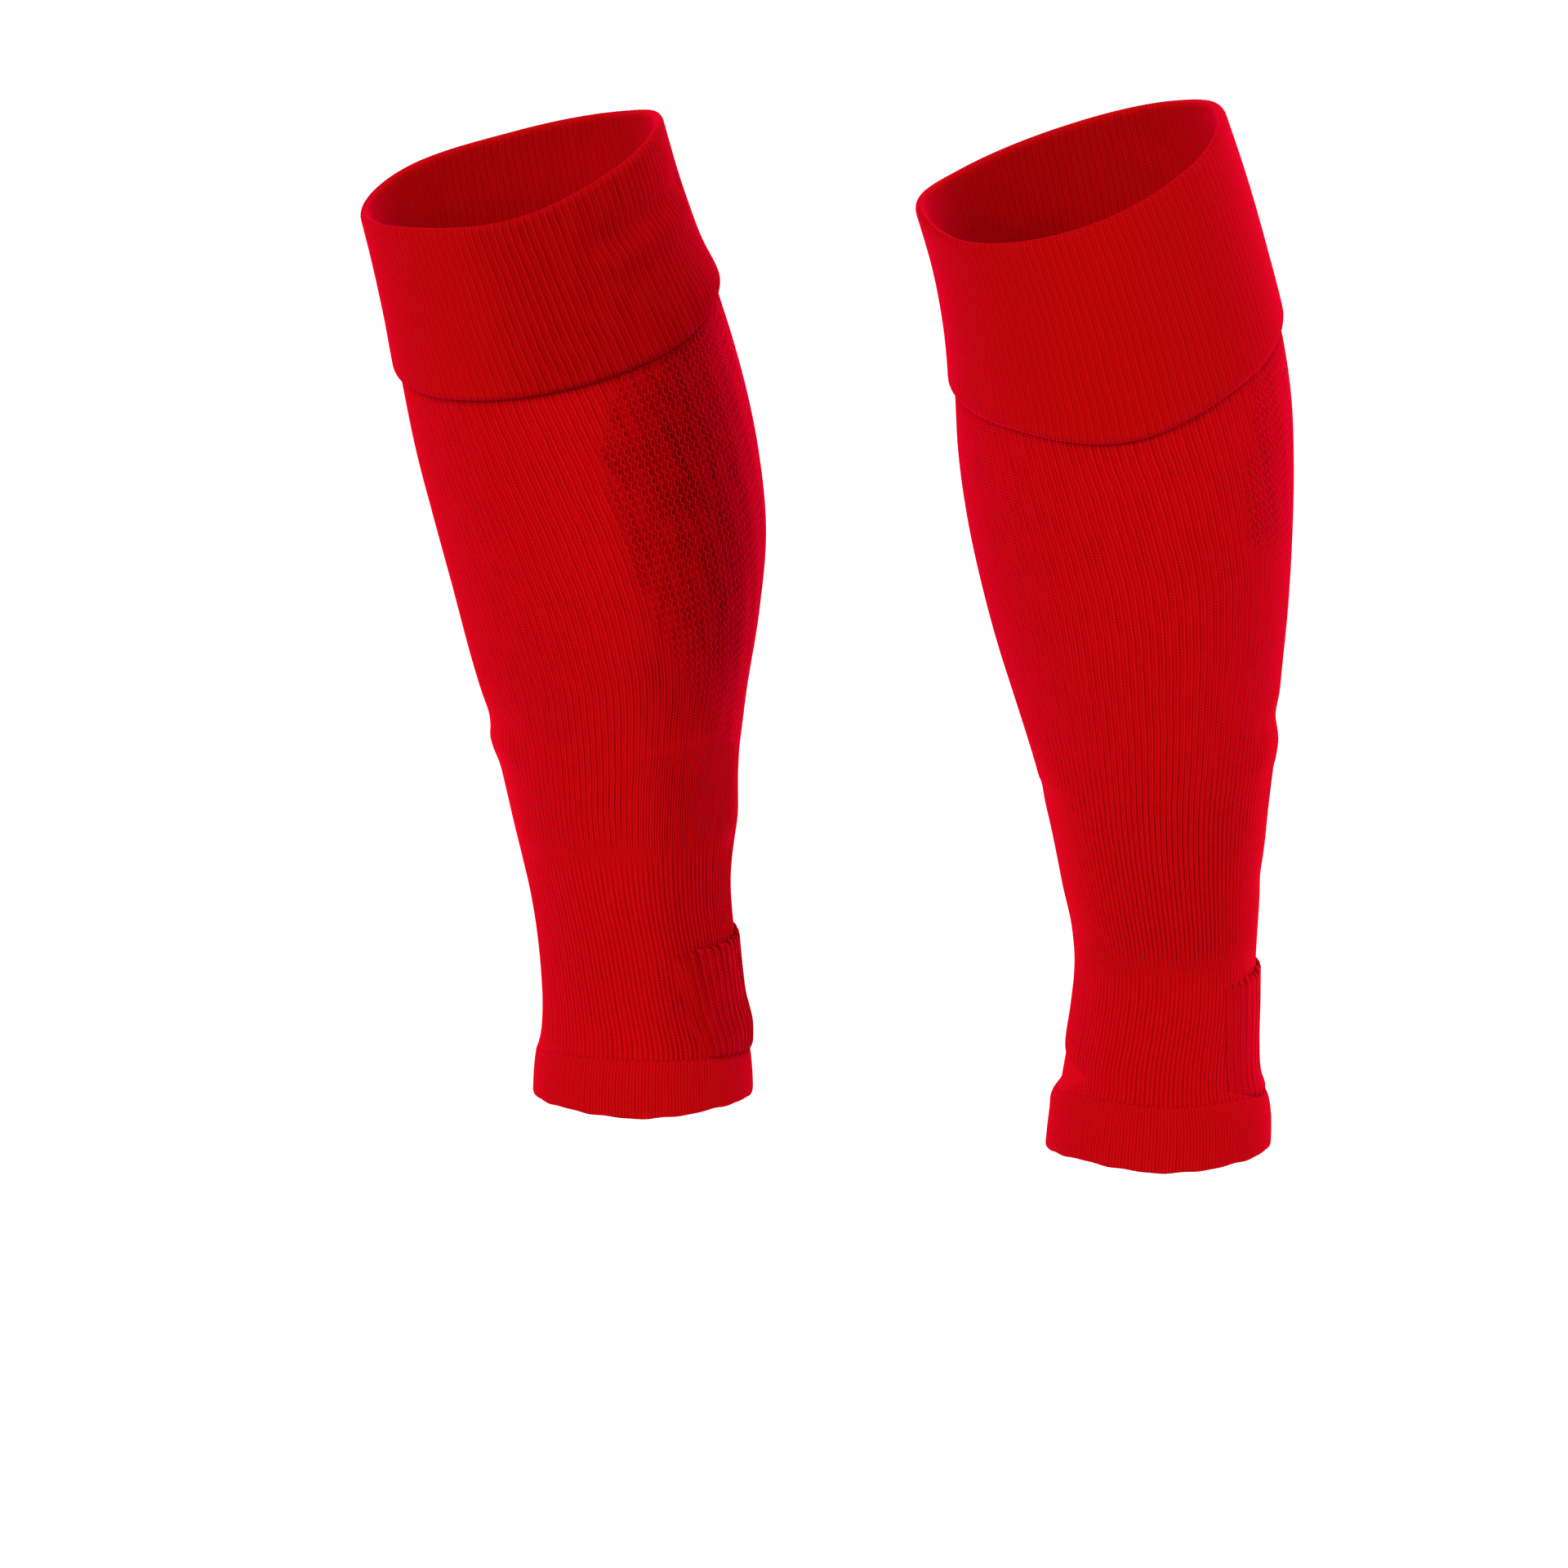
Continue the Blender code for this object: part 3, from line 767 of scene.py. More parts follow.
def build_cuff(sock, material):
    """The turned-down top: a ribbed layer outside the leg, and the outer half of the fold."""
    columns = LEG_RIBS * POINTS_PER_RIB
    around = places_round(columns)
    cuff, rim = (sock.edges[name] for name in ("cuff", "rim"))
    share = np.linspace(0, 1, CUFF_ROWS)[:, None]
    level = between(cuff.rise, rim.rise, share)
    angle = around + turn_at(sock, level) + rib_wander(level, around, CUFF_WANDER)
    low = edge_rise(cuff, angle)
    high = edge_rise(rim, angle) - FOLD_ROUNDING
    rise = between(low, high, share)
    # Where the ribs are drawn together at the back, their relief is deeper and painted shade
    # darkens them
    deep = sock.cuff_deep * drawn_and_shaded_mask(sock, angle, *CUFF_DRAWN_AND_SHADED) + 0 * rise
    relief = rib_depth(CUFF_RELIEF, columns, sock.cuff_depth) * (1 + CUFF_DEEPER * deep)
    # The lower edge is rounded
    at_edge = near(rise - low, 1.0)
    out = CUFF_OUTSIDE + relief - CUFF_EDGE_ROUNDING * at_edge
    # The outer half of the fold, whose end is turned down between the layers
    turned = np.linspace(0.0, CUFF_FOLD_END, FOLD_ROWS + 1)[1:, None]
    left_over = 1 - turned / CUFF_FOLD_END
    fold_out, below = fold_section(CUFF_OUTSIDE, turned)
    fold_rise = edge_rise(rim, angle[-1:]) - below
    fold = (fold_rise, angle[-1:], fold_out + relief[-1:] * left_over**0.5)
    # Back down between the layers
    share = np.linspace(1, 0, CUFF_BACK_ROWS)[:, None]
    back_angle = around + turn_at(sock, between(cuff.rise, rim.rise, share))
    back_rise = between(edge_rise(cuff, back_angle), edge_rise(rim, back_angle) - 2.0, share)
    back = (back_rise, back_angle, SEAM_GAP)
    points = cloth_points(sock, *join_bands((rise, angle, out), fold, back))
    hidden = np.zeros((CUFF_BACK_ROWS, columns))
    fold_inner = soft_mask(turned, 0.40, CUFF_FOLD_END) + 0 * fold_rise
    # Painted shade on the fold's inner side; in the masks below, a painted shadow along the cuff's
    # lower edge
    fold_painted_shade = RIM_SHADE * soft_mask(turned, 0.1, 0.5) + 0 * fold_rise
    masks = {
        "inside": np.concatenate([0 * rise, fold_inner, hidden + 1]),
        "deep": np.concatenate([deep, deep[-1:] * left_over, hidden]),
        "painted_shade": np.concatenate([sock.cuff_shadow * at_edge, fold_painted_shade, hidden]),
        "rim_sheen_share": np.full(points.shape[:2], CUFF_SHEEN),
    }
    weights = np.where(np.arange(len(points)) < len(points) - CUFF_BACK_ROWS, 1.0, 0.2)
    name = f"{sock.name}_cuff_knit"
    return tube_piece(name, points, LEG_RIBS, CUFF_COURSE, masks, material, weights)


def build_heel_patch(sock, material):
    """The field of thick twisted ribs at the back of the ankle, rising out of the leg."""
    columns = HEEL_RIBS * POINTS_PER_HEEL_RIB + 1
    foot = sock.edges["seam"].rise
    t = np.linspace(0, 1, HEEL_ROWS)[:, None]
    level = between(foot, sock.heel_top, t)
    half = between(sock.heel_half_foot, sock.heel_half_top, t)
    side = np.linspace(-1, 1, columns)[None, :]
    angle = sock.heel_angle + half * side
    rib = side * HEEL_RIBS / 2 + HEEL_RIBS / 2
    crown_there = 0.5 - 0.5 * np.cos(2 * pi * (rib + 0.25))
    rise = leg_rise(sock, level, angle)
    # Each rib has a rounded head, which ends a little above or below its neighbours'
    rib_number = np.floor(rib)
    heads = 0.4 * np.sin(2.4 * rib_number) - HEEL_HEAD_ROUNDING * (1 - crown_there)
    rise = rise + heads * soft_mask(t, 0.86, 1.0)
    stray = rib_wander(level, 40 * np.sin(rib_number), HEEL_WANDER) * np.sin(pi * t)
    angle = angle + stray * (1 - np.abs(side))
    strip = rib_depth(HEEL_RELIEF, columns - 1, sock.heel_depth)
    relief = np.append(strip, strip[0]) * (1 + 0.25 * np.sin(level / 4.0 + 2.1 * rib_number))
    # The patch grows out of the leg at its sides, and ends in a step at its top
    flank = soft_mask(1 - np.abs(side), 0.0, 0.30 / sock.heel_depth)
    out = -0.2 + (HEEL_OUTSIDE + relief) * (0.15 + 0.85 * flank)
    at_foot = near(t, 0.03)
    out = out - HEEL_TOP_STEP * near(1 - t, 0.022) - HEEL_FOOT_STEP * at_foot
    outer = cloth_points(sock, rise, angle, out)
    inner = cloth_points(sock, rise, angle, np.minimum(out - 0.2, 0.25) + 0 * rise)
    wales = np.linspace(0, HEEL_RIBS, columns)
    courses = np.linspace(foot, sock.heel_top, HEEL_ROWS) / HEEL_COURSE
    # How strong the painted shade is: patchy from place to place, and stronger under the top step
    patchy = 0.8 + 0.35 * np.sin(level / 5.0 + 1.7 * rib_number)
    deep = sock.heel_deep * (0.35 * patchy + 0.5 * soft_mask(t, 0.90, 0.99)) + 0 * rise
    masks = {
        "deep": np.clip(deep, 0.0, 1.0),
        # a painted shadow along the patch's foot
        "painted_shade": 0.8 * at_foot + 0 * rise,
        "beside": 1 - soft_mask(1 - np.abs(side), 0.02, 0.14) + 0 * rise,
        "rim_sheen_share": np.ones_like(rise),
    }
    return patch_piece(f"{sock.name}_heel_knit", outer, inner, wales, courses, masks, material)


# The hem's section round its lower edge, from its inner face to its outer one: how far above the
# edge, and how far outside the leg's face
HemRow = namedtuple("HemRow", "lift out")

HEM_LOWER = [
    HemRow(0.55, -1.35),
    HemRow(0.10, -1.0),
    HemRow(0.0, -0.3),
    HemRow(0.10, 0.25),
    HemRow(0.45, 0.65),
    HemRow(0.95, 0.84),
]


def build_hem(sock, material):
    """The doubled band round the ankle opening, with a soft round lower edge."""
    columns = HEM_RIBS * POINTS_PER_RIB
    around = places_round(columns)
    low = edge_rise(sock.edges["hem"], around)
    high = edge_rise(sock.edges["seam"], around)
    turn = np.radians(around)
    high = high + SEAM_SCALLOP * np.cos(turn * LEG_RIBS / 2)
    rib = rib_depth(HEM_RELIEF, columns)
    ripple = 0.16 * np.sin(13 * turn + 0.6) + 0.10 * np.sin(23 * turn + 2.1)
    lift, lower_out = (column_of(HEM_LOWER, name)[:, None] for name in ("lift", "out"))
    lower = (low + lift + ripple, around, lower_out + 0.5 * rib)
    share = np.linspace(0, 1, HEM_ROWS)[:, None]
    side_low = low + HEM_ROUNDING * 1.15
    side_rise = between(side_low + ripple * (1 - share), high, share)
    swell = HEM_SWELL * np.sin(pi * share) - SEAM_PINCH * near(high - side_rise, 1.0)
    side = (side_rise, around, HEM_OUTSIDE + rib + swell)
    # Over the seam and down the inner face
    over = (high + 0.25, around, -0.2)
    share = np.linspace(1, 0, HEM_BACK_ROWS)[:, None]
    back = (between(side_low, high, share), around, -HEM_INSIDE)
    points = cloth_points(sock, *join_bands(lower, side, over, back))
    inner = np.zeros(points.shape[:2])
    inner[-HEM_BACK_ROWS:] = 1
    masks = {"inside": inner, "deep": np.zeros_like(inner)}
    return tube_piece(f"{sock.name}_hem_knit", points, HEM_RIBS, HEM_COURSE, masks, material)


# ---------------------------------------------------------------- nodes

# The noise of the yarn's fibres and of its clouds, for each metre, how much darker the clouds and
# the streaks are, how much painted shadow darkens the shadowed recesses, and how much painted
# shade darkens the ribs that are drawn together
FIBRE_SCALE = 1400.0
CLOUD_SCALE = 22.0
CLOUDS = 0.12
STREAKS = 0.08
PAINTED_RECESS_SHADE = 0.65
DRAWN_SHADE = 0.14


def lay_node(tree, kind, inputs, **settings):
    """A new node with its settings, and with wires or values on its inputs."""
    node = tree.nodes.new("ShaderNode" + kind)
    for name, setting in settings.items():
        setattr(node, name, setting)
    set_inputs(tree, node, inputs)
    return node


def set_inputs(tree, node, inputs):
    """Leads wires into a node's inputs, or sets numbers and colours on them."""
    for label, value in inputs.items():
        if isinstance(value, Wire):
            tree.links.new(value.socket, node.inputs[label])
        else:
            node.inputs[label].default_value = value


class Wire:
    """A value on its way from one node to the next. Sums on it lay the nodes that work them out."""

    def __init__(self, tree, socket):
        self.tree = tree
        self.socket = socket

    def math(self, operation, *others, swap=False):
        values = [self, *others]
        if swap:
            values.reverse()
        node = lay_node(self.tree, "Math", dict(enumerate(values)), operation=operation)
        return Wire(self.tree, node.outputs[0])

    def __add__(self, other):
        return self.math("ADD", other)

    def __sub__(self, other):
        return self.math("SUBTRACT", other)

    def __mul__(self, other):
        return self.math("MULTIPLY", other)

    def __truediv__(self, other):
        return self.math("DIVIDE", other)

    def __pow__(self, other):
        return self.math("POWER", other)

    __radd__ = __add__
    __rmul__ = __mul__

    def __rsub__(self, other):
        return self.math("SUBTRACT", other, swap=True)

    def part(self):
        return self.math("FRACT")

    def whole(self):
        return self.math("FLOOR")

    def size(self):
        return self.math("ABSOLUTE")

    def wave(self):
        """1 at every whole number, -1 halfway between."""
        return (self * (2 * pi)).math("COSINE")

    def above(self, least):
        return self.math("MAXIMUM", least)

    def smooth(self, low, high):
        """0 below low, 1 above high, and smooth between."""
        limits = {"Value": self, "From Min": low, "From Max": high}
        node = lay_node(self.tree, "MapRange", limits, interpolation_type="SMOOTHSTEP")
        return Wire(self.tree, node.outputs["Result"])

    def ridge(self, centre, half):
        """A round ridge along centre, 1 on top and 0 from half away."""
        aside = (self - centre) / half
        return (1 - aside * aside).above(0.0)


def blend(first, second, amount):
    """First where amount is 0 and second where it is 1."""
    return first + (second - first) * amount


def new_group(name, inputs, outputs):
    """A node group with these number inputs, each with its usual value, and these outputs."""
    group = bpy.data.node_groups.new(name, "ShaderNodeTree")
    for label, kind, usual in inputs:
        socket = group.interface.new_socket(label, in_out="INPUT", socket_type=kind)
        socket.default_value = usual
    for label, kind in outputs:
        group.interface.new_socket(label, in_out="OUTPUT", socket_type=kind)
    come = group.nodes.new("NodeGroupInput")
    leave = group.nodes.new("NodeGroupOutput")
    given = {label: Wire(group, come.outputs[label]) for label, _, _ in inputs}
    return group, given, leave


def noise(tree, place, scale, detail):
    """Soft noise from 0 to 1 at a place."""
    node = lay_node(tree, "TexNoise", {"Vector": place, "Scale": scale, "Detail": detail})
    return Wire(tree, node.outputs["Fac"])


def noise_at(tree, across, along):
    """Soft noise from 0 to 1 over two numbers."""
    place = lay_node(tree, "CombineXYZ", {"X": across, "Y": along})
    return noise(tree, Wire(tree, place.outputs["Vector"]), 1.0, 1.0)


def mix_colours(tree, first, second, amount):
    """The first colour where amount is 0 and the second where it is 1."""
    mix = lay_node(tree, "Mix", {"Factor": amount, 6: first, 7: second}, data_type="RGBA")
    return Wire(tree, mix.outputs[2])


def put_out(group, leave, label, wire):
    group.links.new(wire.socket, leave.inputs[label])


def place_group(tree, group, **inputs):
    """A group in a tree, with wires or values on its inputs. Gives its outputs by name."""
    inputs = {label.replace("_", " "): value for label, value in inputs.items()}
    node = lay_node(tree, "Group", inputs, node_tree=group)
    return {output.name: Wire(tree, output) for output in node.outputs}


def number(label, usual):
    return (label.replace("_", " "), "NodeSocketFloat", usual)


def stitch_group(name, **others):
    """A group that gives the height of one kind of stitch from its rib and course."""
    inputs = [number("Rib", 0.0), number("Course", 0.0)]
    inputs += [number(label, usual) for label, usual in others.items()]
    return new_group(name, inputs, [("Height", "NodeSocketFloat")])


def make_ladder_group():
    """Ribs of two wales each: a smooth one, and one whose stitches show as the bars of a ladder.
    There is a groove to the right of the smooth wale, and a shallow valley to its left."""
    usual = dict(Smooth_Top=1.0, Ladder_Top=1.0, Valley=0.4, Groove=1.0, Bar_Depth=0.85)
    group, given, leave = stitch_group("ladder_ribs", **usual)
    across = given["Rib"].part()
    course = given["Course"]
    strands = 0.92 + 0.08 * (course + 1.5 * across).wave()
    smooth_wale = given["Smooth Top"] * across.ridge(0.25, 0.185) ** 0.7 * strands
    bars = (course - 0.3 * across).wave().smooth(-0.6, 0.7)
    ladder = given["Ladder Top"] * across.ridge(0.76, 0.22) ** 0.6
    ladder = ladder * (1 - given["Bar Depth"] * (1 - bars))
    ground = given["Valley"] * (1 - given["Groove"] * across.ridge(0.5, 0.16))
    put_out(group, leave, "Height", ground.above(smooth_wale).above(ladder))
    return group


def make_chain_group():
    """Bold ribs, each a chain of V-shaped stitches. Every other groove is shallow."""
    group, given, leave = stitch_group("chain_ribs", Stitch_Depth=0.5, Shallow=0.15)
    aside = (given["Rib"].part() - 0.5).size()
    crown = (1 - (aside / 0.45) ** 2.0).above(0.0) ** 0.7
    arms = (given["Course"] + 1.4 * aside).wave().smooth(-0.8, 0.8)
    stitch = 1 - given["Stitch Depth"] * (1 - arms)
    shallow = (given["Rib"] * 0.5).part().ridge(0.5, 0.2) * given["Shallow"]
    put_out(group, leave, "Height", (crown * stitch).above(shallow))
    return group


def make_rope_group():
    """Thick ribs, each a twisted rope with two rows of small stitches to the right of it."""
    group, given, leave = stitch_group("rope_ribs")
    across = given["Rib"].part()
    course = given["Course"]
    strands = 0.72 + 0.28 * (course + 3.0 * across).wave()
    rope = across.ridge(0.24, 0.19) ** 0.7 * strands
    row = (across - 0.42) / 0.28
    stitch = (course + row.whole() * 0.5).wave().smooth(-0.8, 0.6)
    rows = row.part().ridge(0.5, 0.48) * across.smooth(0.40, 0.46)
    put_out(group, leave, "Height", rope.above(rows * (0.3 + 0.55 * stitch)))
    return group


def make_net_group():
    """An open net: each rib is a row of long loops, like the links of a chain, which stand
    upright where the rib itself leans."""
    group, given, leave = stitch_group("open_net", Loop_Rows=2.95, Upright=0.3)
    along = (given["Course"] / given["Loop Rows"]).part() - 0.5
    aside = given["Rib"].part() - 0.5 - given["Upright"] * along
    wide = aside / 0.37
    tall = along / 0.52
    from_middle = (wide * wide + (tall * tall) ** 1.4) ** 0.5
    loop = from_middle.ridge(0.80, 0.40)
    first_arm = 0.78 - 1.05 * aside
    twist = 0.9 + 0.1 * (given["Course"] + 2.0 * aside).wave()
    ground = 0.16 * from_middle.smooth(0.6, 1.1)
    put_out(group, leave, "Height", (loop * first_arm * twist).above(ground))
    return group


def make_plain_group():
    """Plain rows: every wale a column of short upright stitches."""
    group, given, leave = stitch_group("plain_rows")
    doubled = given["Rib"] * 2.0
    shift = doubled.whole() * 0.5
    stitches = (given["Course"] + shift).wave().smooth(-0.9, 0.6)
    columns = doubled.part().ridge(0.5, 0.46)
    put_out(group, leave, "Height", columns * (0.55 + 0.45 * stitches))
    return group


def make_uneven_group():
    """The same rib and course numbers, a little astray from stitch to stitch, and streaks along
    the ribs from 0 to 1."""
    inputs = [number("Rib", 0.0), number("Course", 0.0), number("Most", 0.16)]
    outputs = [(label, "NodeSocketFloat") for label in ("Rib", "Course", "Streak")]
    group, given, leave = new_group("uneven_stitches", inputs, outputs)
    stray = noise_at(group, given["Rib"] * 0.7, given["Course"] * 0.3) - 0.5
    lift = noise_at(group, given["Rib"] * 0.5 + 40.0, given["Course"] * 0.3) - 0.5
    put_out(group, leave, "Rib", given["Rib"] + given["Most"] * stray)
    put_out(group, leave, "Course", given["Course"] + 4.0 * given["Most"] * lift)
    streak = noise_at(group, given["Rib"] * 0.9 + 80.0, given["Course"] * 0.07)
    put_out(group, leave, "Streak", streak.smooth(0.3, 0.7))
    return group


def make_yarn_group():
    """Red yarn with painted shade: darker and duller in the knit's hollows, darker overall in
    painted shadows and where the ribs are drawn together, uneven from place to place.
    """
    inputs = [
        number("Height", 0.5),
        # Deep says where the ribs are drawn together: it strengthens the painted shade in the
        # hollows and darkens all of the knit with painted shade
        number("Deep", 0.0),
        number("Streak", 0.5),
        number("Tucked", 0.0),
        number("Shade", 0.25),
        number("Deep Shade", 0.8),
        ("Crown Color", "NodeSocketColor", (0.6, 0.0022, 0.0055, 1.0)),
        ("Hollow Color", "NodeSocketColor", (0.02, 0.0, 0.0, 1.0)),
    ]
    outputs = [("Color", "NodeSocketColor")]
    outputs += [(label, "NodeSocketFloat") for label in ("Roughness", "Height")]
    group, given, leave = new_group("red_yarn", inputs, outputs)
    where = Wire(group, lay_node(group, "TexCoord", {}).outputs["Object"])
    fibres = noise(group, where, FIBRE_SCALE, 2.0) - 0.5
    clouds = noise(group, where, CLOUD_SCALE, 3.0) - 0.5
    lit = given["Height"] + 0.5 * fibres * given["Height"]
    # Painted shade: the hollows darken, more so where the ribs are drawn together, and below all of
    # the knit darkens in painted shadows and where the ribs are drawn together
    shade = blend(given["Shade"], given["Deep Shade"], given["Deep"])
    shade = shade * (1.25 - 0.5 * given["Streak"])
    amount = 1.04 - shade * (1 - lit) + CLOUDS * clouds - STREAKS * given["Streak"]
    amount = amount * (1 - PAINTED_RECESS_SHADE * given["Tucked"]) * (1 - DRAWN_SHADE * given["Deep"])
    colour = mix_colours(group, given["Hollow Color"], given["Crown Color"], amount)
    put_out(group, leave, "Color", colour)
    put_out(group, leave, "Roughness", 0.95 - 0.2 * lit)
    put_out(group, leave, "Height", given["Height"] + 0.12 * fibres)
    return group


# One finish of the knit: its yarn's colour on the crowns, how much painted shade darkens the
# hollows and how much where the ribs are drawn together, and how deep its stitches are pressed
Finish = namedtuple("Finish", "name crown shade deep_shade depth")

LEG_FINISH = Finish("leg_knit", (0.422, 0.0017, 0.0028), 0.52, 0.85, 0.28)
CUFF_FINISH = Finish("cuff_rib", (0.336, 0.0015, 0.0018), 0.38, 0.75, 0.28)
HEEL_FINISH = Finish("heel_rib", (0.390, 0.0016, 0.0020), 0.44, 0.88, 0.35)
HEM_FINISH = Finish("hem_knit", (0.385, 0.0016, 0.0030), 0.42, 0.80, 0.18)
# The dark red of the painted shade in the knit's hollows
HOLLOW_RED = (0.03, 0.0, 0.0)

# A painted sheen towards the edges of the view: its colour, how near the edges it shows, how much
# it shows on any cloth, and how much more where its mask is 1
PAINTED_SHEEN_RED = (0.55, 0.0018, 0.0095)
PAINTED_SHEEN_POWER = 2.7
PAINTED_SHEEN_LEAST = 0.70
PAINTED_SHEEN_MORE = 0.80

SHEEN_TINT = (1.0, 0.0, 0.045)
SHEEN_ROUGHNESS = 0.34


def mask_wire(tree, name):
    node = lay_node(tree, "Attribute", {}, attribute_name=name)
    return Wire(tree, node.outputs["Fac"])


def knit_material(finish, lay_stitches):
    """A red knit. lay_stitches gives the height of its stitches from the rib and course."""
    material = bpy.data.materials.new(finish.name)
    material.use_nodes = True
    tree = material.node_tree
    shader = tree.nodes["Principled BSDF"]
    knit = lay_node(tree, "UVMap", {}, uv_map="knit")
    parts = lay_node(tree, "SeparateXYZ", {"Vector": Wire(tree, knit.outputs["UV"])})
    even_rib, even_course = (Wire(tree, parts.outputs[axis]) for axis in "XY")
    uneven = place_group(tree, GROUPS["uneven"], Rib=even_rib, Course=even_course)
    height = lay_stitches(tree, uneven["Rib"], uneven["Course"])
    painted_shade = mask_wire(tree, "painted_shade")
    yarn = place_group(
        tree,
        GROUPS["yarn"],
        Height=height,
        Deep=mask_wire(tree, "deep"),
        Streak=uneven["Streak"],
        Tucked=painted_shade,
        Shade=finish.shade,
        Deep_Shade=finish.deep_shade,
        Crown_Color=(*finish.crown, 1.0),
        Hollow_Color=(*HOLLOW_RED, 1.0),
    )
    depth = {"Strength": 1.0, "Distance": finish.depth * MM, "Height": yarn["Height"]}
    bump = lay_node(tree, "Bump", depth)
    # A painted sheen: the base colour turns a lighter red towards the edges of the view, less where
    # there is painted shadow
    edge = lay_node(tree, "LayerWeight", {"Blend": 0.5})
    grazing_view = Wire(tree, edge.outputs["Facing"]) ** PAINTED_SHEEN_POWER
    painted_sheen = grazing_view * (PAINTED_SHEEN_LEAST + PAINTED_SHEEN_MORE * mask_wire(tree, "rim_sheen_share")) * (1 - painted_shade)
    surface = {
        "Base Color": mix_colours(tree, yarn["Color"], (*PAINTED_SHEEN_RED, 1.0), painted_sheen),
        "Roughness": yarn["Roughness"],
        "Normal": Wire(tree, bump.outputs["Normal"]),
        "Metallic": 0.0,
        "Specular IOR Level": 0.0,
        "Sheen Weight": 1.0,
        "Sheen Roughness": SHEEN_ROUGHNESS,
        "Sheen Tint": (*SHEEN_TINT, 1.0),
    }
    set_inputs(tree, shader, surface)
    return material


def stitches(tree, kind, rib, course, **values):
    """The height of one kind of stitch."""
    return place_group(tree, GROUPS[kind], Rib=rib, Course=course, **values)["Height"]


def with_inner_face(tree, height, rib, course):
    """The knit's inner face shows the same ribs, only softer."""
    ribs = stitches(tree, "ladder", rib, course, Smooth_Top=0.8)
    return blend(height, 0.60 + 0.72 * ribs, mask_wire(tree, "inside"))


NET_LOOPS = 1.125  # loops side by side in the net for each rib


def leg_stitches(tree, rib, course):
    """Ladder ribs, with the net at the calf, plain rows under it and chains at the ankle."""
    low = mask_wire(tree, "low")
    top = 0.87 + 0.08 * low
    valley = 0.20 + 0.25 * low
    bars = 0.74 - 0.24 * low
    height = stitches(tree, "ladder", rib, course, Smooth_Top=top, Valley=valley, Bar_Depth=bars)
    for kind, kind_rib in {"chain": rib, "plain": rib, "net": NET_LOOPS * rib}.items():
        height = blend(height, stitches(tree, kind, kind_rib, course), mask_wire(tree, kind))
    return with_inner_face(tree, height, rib, course)


def cuff_stitches(tree, rib, course):
    # The ladder wales sink where the ribs are drawn together, which also darkens them with painted
    # shade
    top = 0.96 - 0.30 * mask_wire(tree, "deep")
    ribs = stitches(tree, "ladder", rib, course, Ladder_Top=top, Valley=0.42, Groove=0.5)
    return with_inner_face(tree, ribs, rib, course)


def heel_stitches(tree, rib, course):
    """Ropes, which turn into finer chains like the leg's at the patch's sides."""
    chains = stitches(tree, "chain", 2.0 * rib, course)
    return blend(stitches(tree, "rope", rib, course), chains, mask_wire(tree, "beside"))


def hem_stitches(tree, rib, course):
    ribs = stitches(tree, "ladder", rib, course, Smooth_Top=0.95, Valley=0.1, Bar_Depth=0.5)
    return with_inner_face(tree, ribs, rib, course)


GROUPS = {
    "ladder": make_ladder_group(),
    "chain": make_chain_group(),
    "net": make_net_group(),
    "plain": make_plain_group(),
    "rope": make_rope_group(),
    "yarn": make_yarn_group(),
    "uneven": make_uneven_group(),
}

leg_knit = knit_material(LEG_FINISH, leg_stitches)
cuff_rib = knit_material(CUFF_FINISH, cuff_stitches)
heel_rib = knit_material(HEEL_FINISH, heel_stitches)
hem_knit = knit_material(HEM_FINISH, hem_stitches)

# The flat size of a kind of piece in metres, laid open: round the tube, and along it. Nothing below
# uses it.
Cut = namedtuple("Cut", "round along")


def hand_over(piece, sock, node):
    """The piece rides with the pair and stands for its solid."""
    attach(piece, "root")
    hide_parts(f"{sock.name}_{node}")


for sock in SOCKS:
    leg = build_leg(sock, leg_knit)
    hand_over(leg, sock, "leg")
    cuff = build_cuff(sock, cuff_rib)
    hand_over(cuff, sock, "cuff")
    heel_patch = build_heel_patch(sock, heel_rib)
    hand_over(heel_patch, sock, "heel_patch")
    hem = build_hem(sock, hem_knit)
    hand_over(hem, sock, "hem")

# ---------------------------------------------------------------- floor, light and camera

FLOOR_BELOW = 0.30  # metres from the socks' lower edges to the floor
FLOOR_SIZE = 60.0
FLOOR_COLOUR = (0.66, 0.66, 0.66)
SKY_COLOUR = (1.0, 1.0, 1.0)
SKY_STRENGTH = 1.4


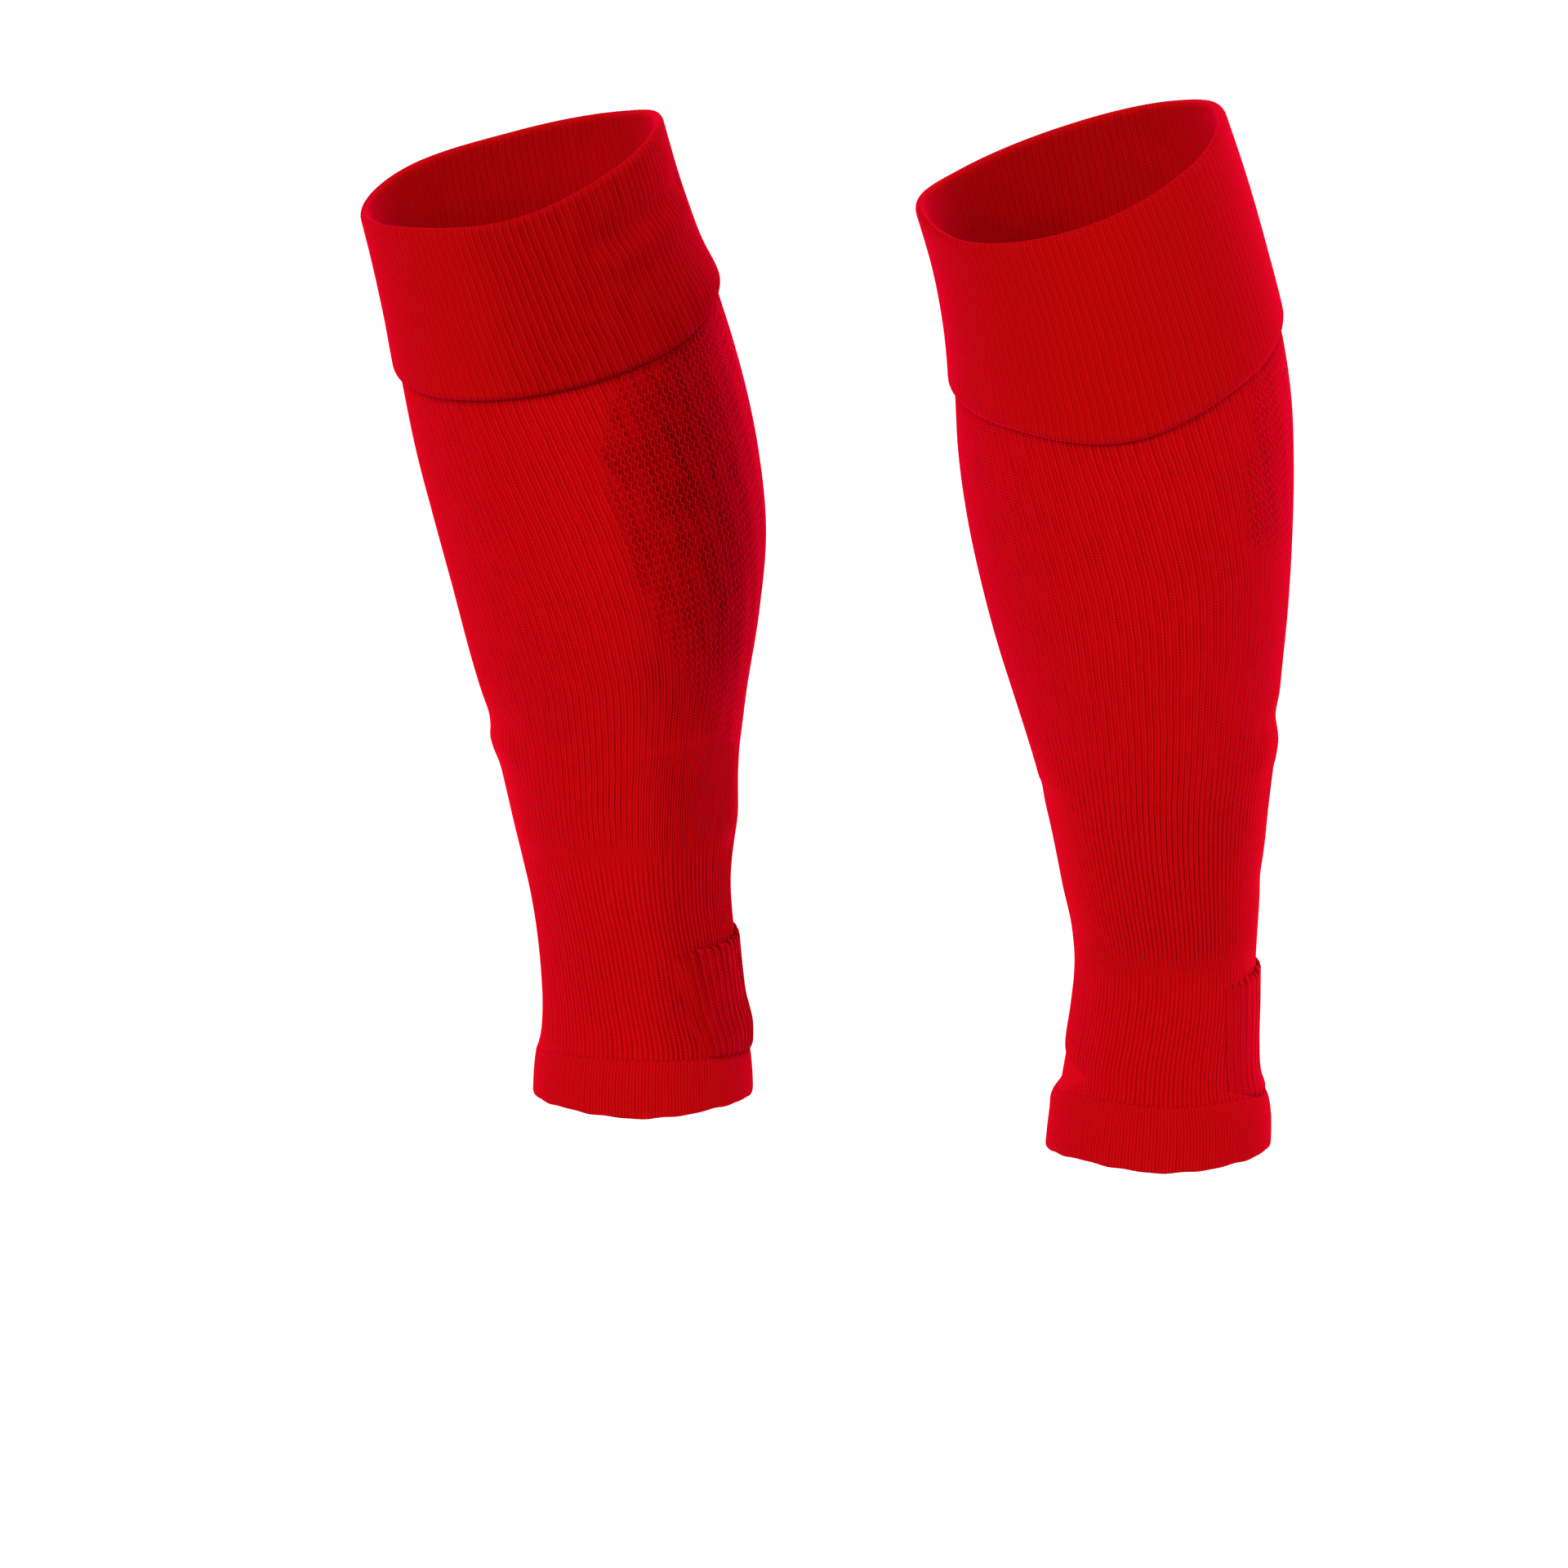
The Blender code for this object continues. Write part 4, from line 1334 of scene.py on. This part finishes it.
def build_floor():
    height = solid_box[0][2] - FLOOR_BELOW
    bpy.ops.mesh.primitive_plane_add(size=FLOOR_SIZE, location=(0, 0, height))
    floor = bpy.context.object
    floor.name = "floor"
    material = bpy.data.materials.new("pale_floor")
    material.use_nodes = True
    shader = material.node_tree.nodes["Principled BSDF"]
    surface = {"Base Color": (*FLOOR_COLOUR, 1.0), "Roughness": 0.9, "Specular IOR Level": 0.0}
    set_inputs(material.node_tree, shader, surface)
    floor.data.materials.append(material)


# A soft box: where it stands, in metres, the length of its sides and its watts. All face the pair.
Lamp = namedtuple("Lamp", "name place side watts")

LAMPS = [
    Lamp("key_softbox", (-1.9, -2.3, 1.6), 1.5, 60.0),
    Lamp("fill_softbox", (2.6, -0.9, 0.8), 1.5, 22.0),
    Lamp("rim_softbox", (2.0, 1.6, 0.7), 1.2, 15.0),
    Lamp("top_softbox", (0.0, 0.8, 3.0), 2.5, 48.0),
]
LAMP_TARGET = (0.0, 0.0, -0.08)


def aim(thing, target):
    """Turns a lamp's face to the target."""
    line = Vector(target) - thing.location
    thing.rotation_euler = line.to_track_quat("-Z", "Y").to_euler()


def build_light():
    for lamp in LAMPS:
        light = bpy.data.lights.new(lamp.name, "AREA")
        light.shape = "SQUARE"
        light.size = lamp.side
        light.energy = lamp.watts
        holder = bpy.data.objects.new(lamp.name, light)
        holder.location = lamp.place
        bpy.context.scene.collection.objects.link(holder)
        aim(holder, LAMP_TARGET)
    world = bpy.data.worlds.new("studio")
    world.use_nodes = True
    backdrop = world.node_tree.nodes["Background"]
    sky = {"Color": (*SKY_COLOUR, 1.0), "Strength": SKY_STRENGTH}
    set_inputs(world.node_tree, backdrop, sky)
    bpy.context.scene.world = world


CAMERA_PLACE = (-0.023, -3.3287, 0.9456)
CAMERA_TIP = 72.0
CAMERA_LENS = 226.3
SENSOR = 36.0


def build_camera():
    data = bpy.data.cameras.new("camera")
    data.lens = CAMERA_LENS
    data.sensor_width = SENSOR
    data.clip_end = 200.0
    camera = bpy.data.objects.new("camera", data)
    camera.location = CAMERA_PLACE
    camera.rotation_euler = (radians(CAMERA_TIP), 0.0, 0.0)
    bpy.context.scene.collection.objects.link(camera)
    bpy.context.scene.camera = camera
    bpy.context.scene.view_settings.view_transform = "Standard"


build_floor()
build_light()
build_camera()
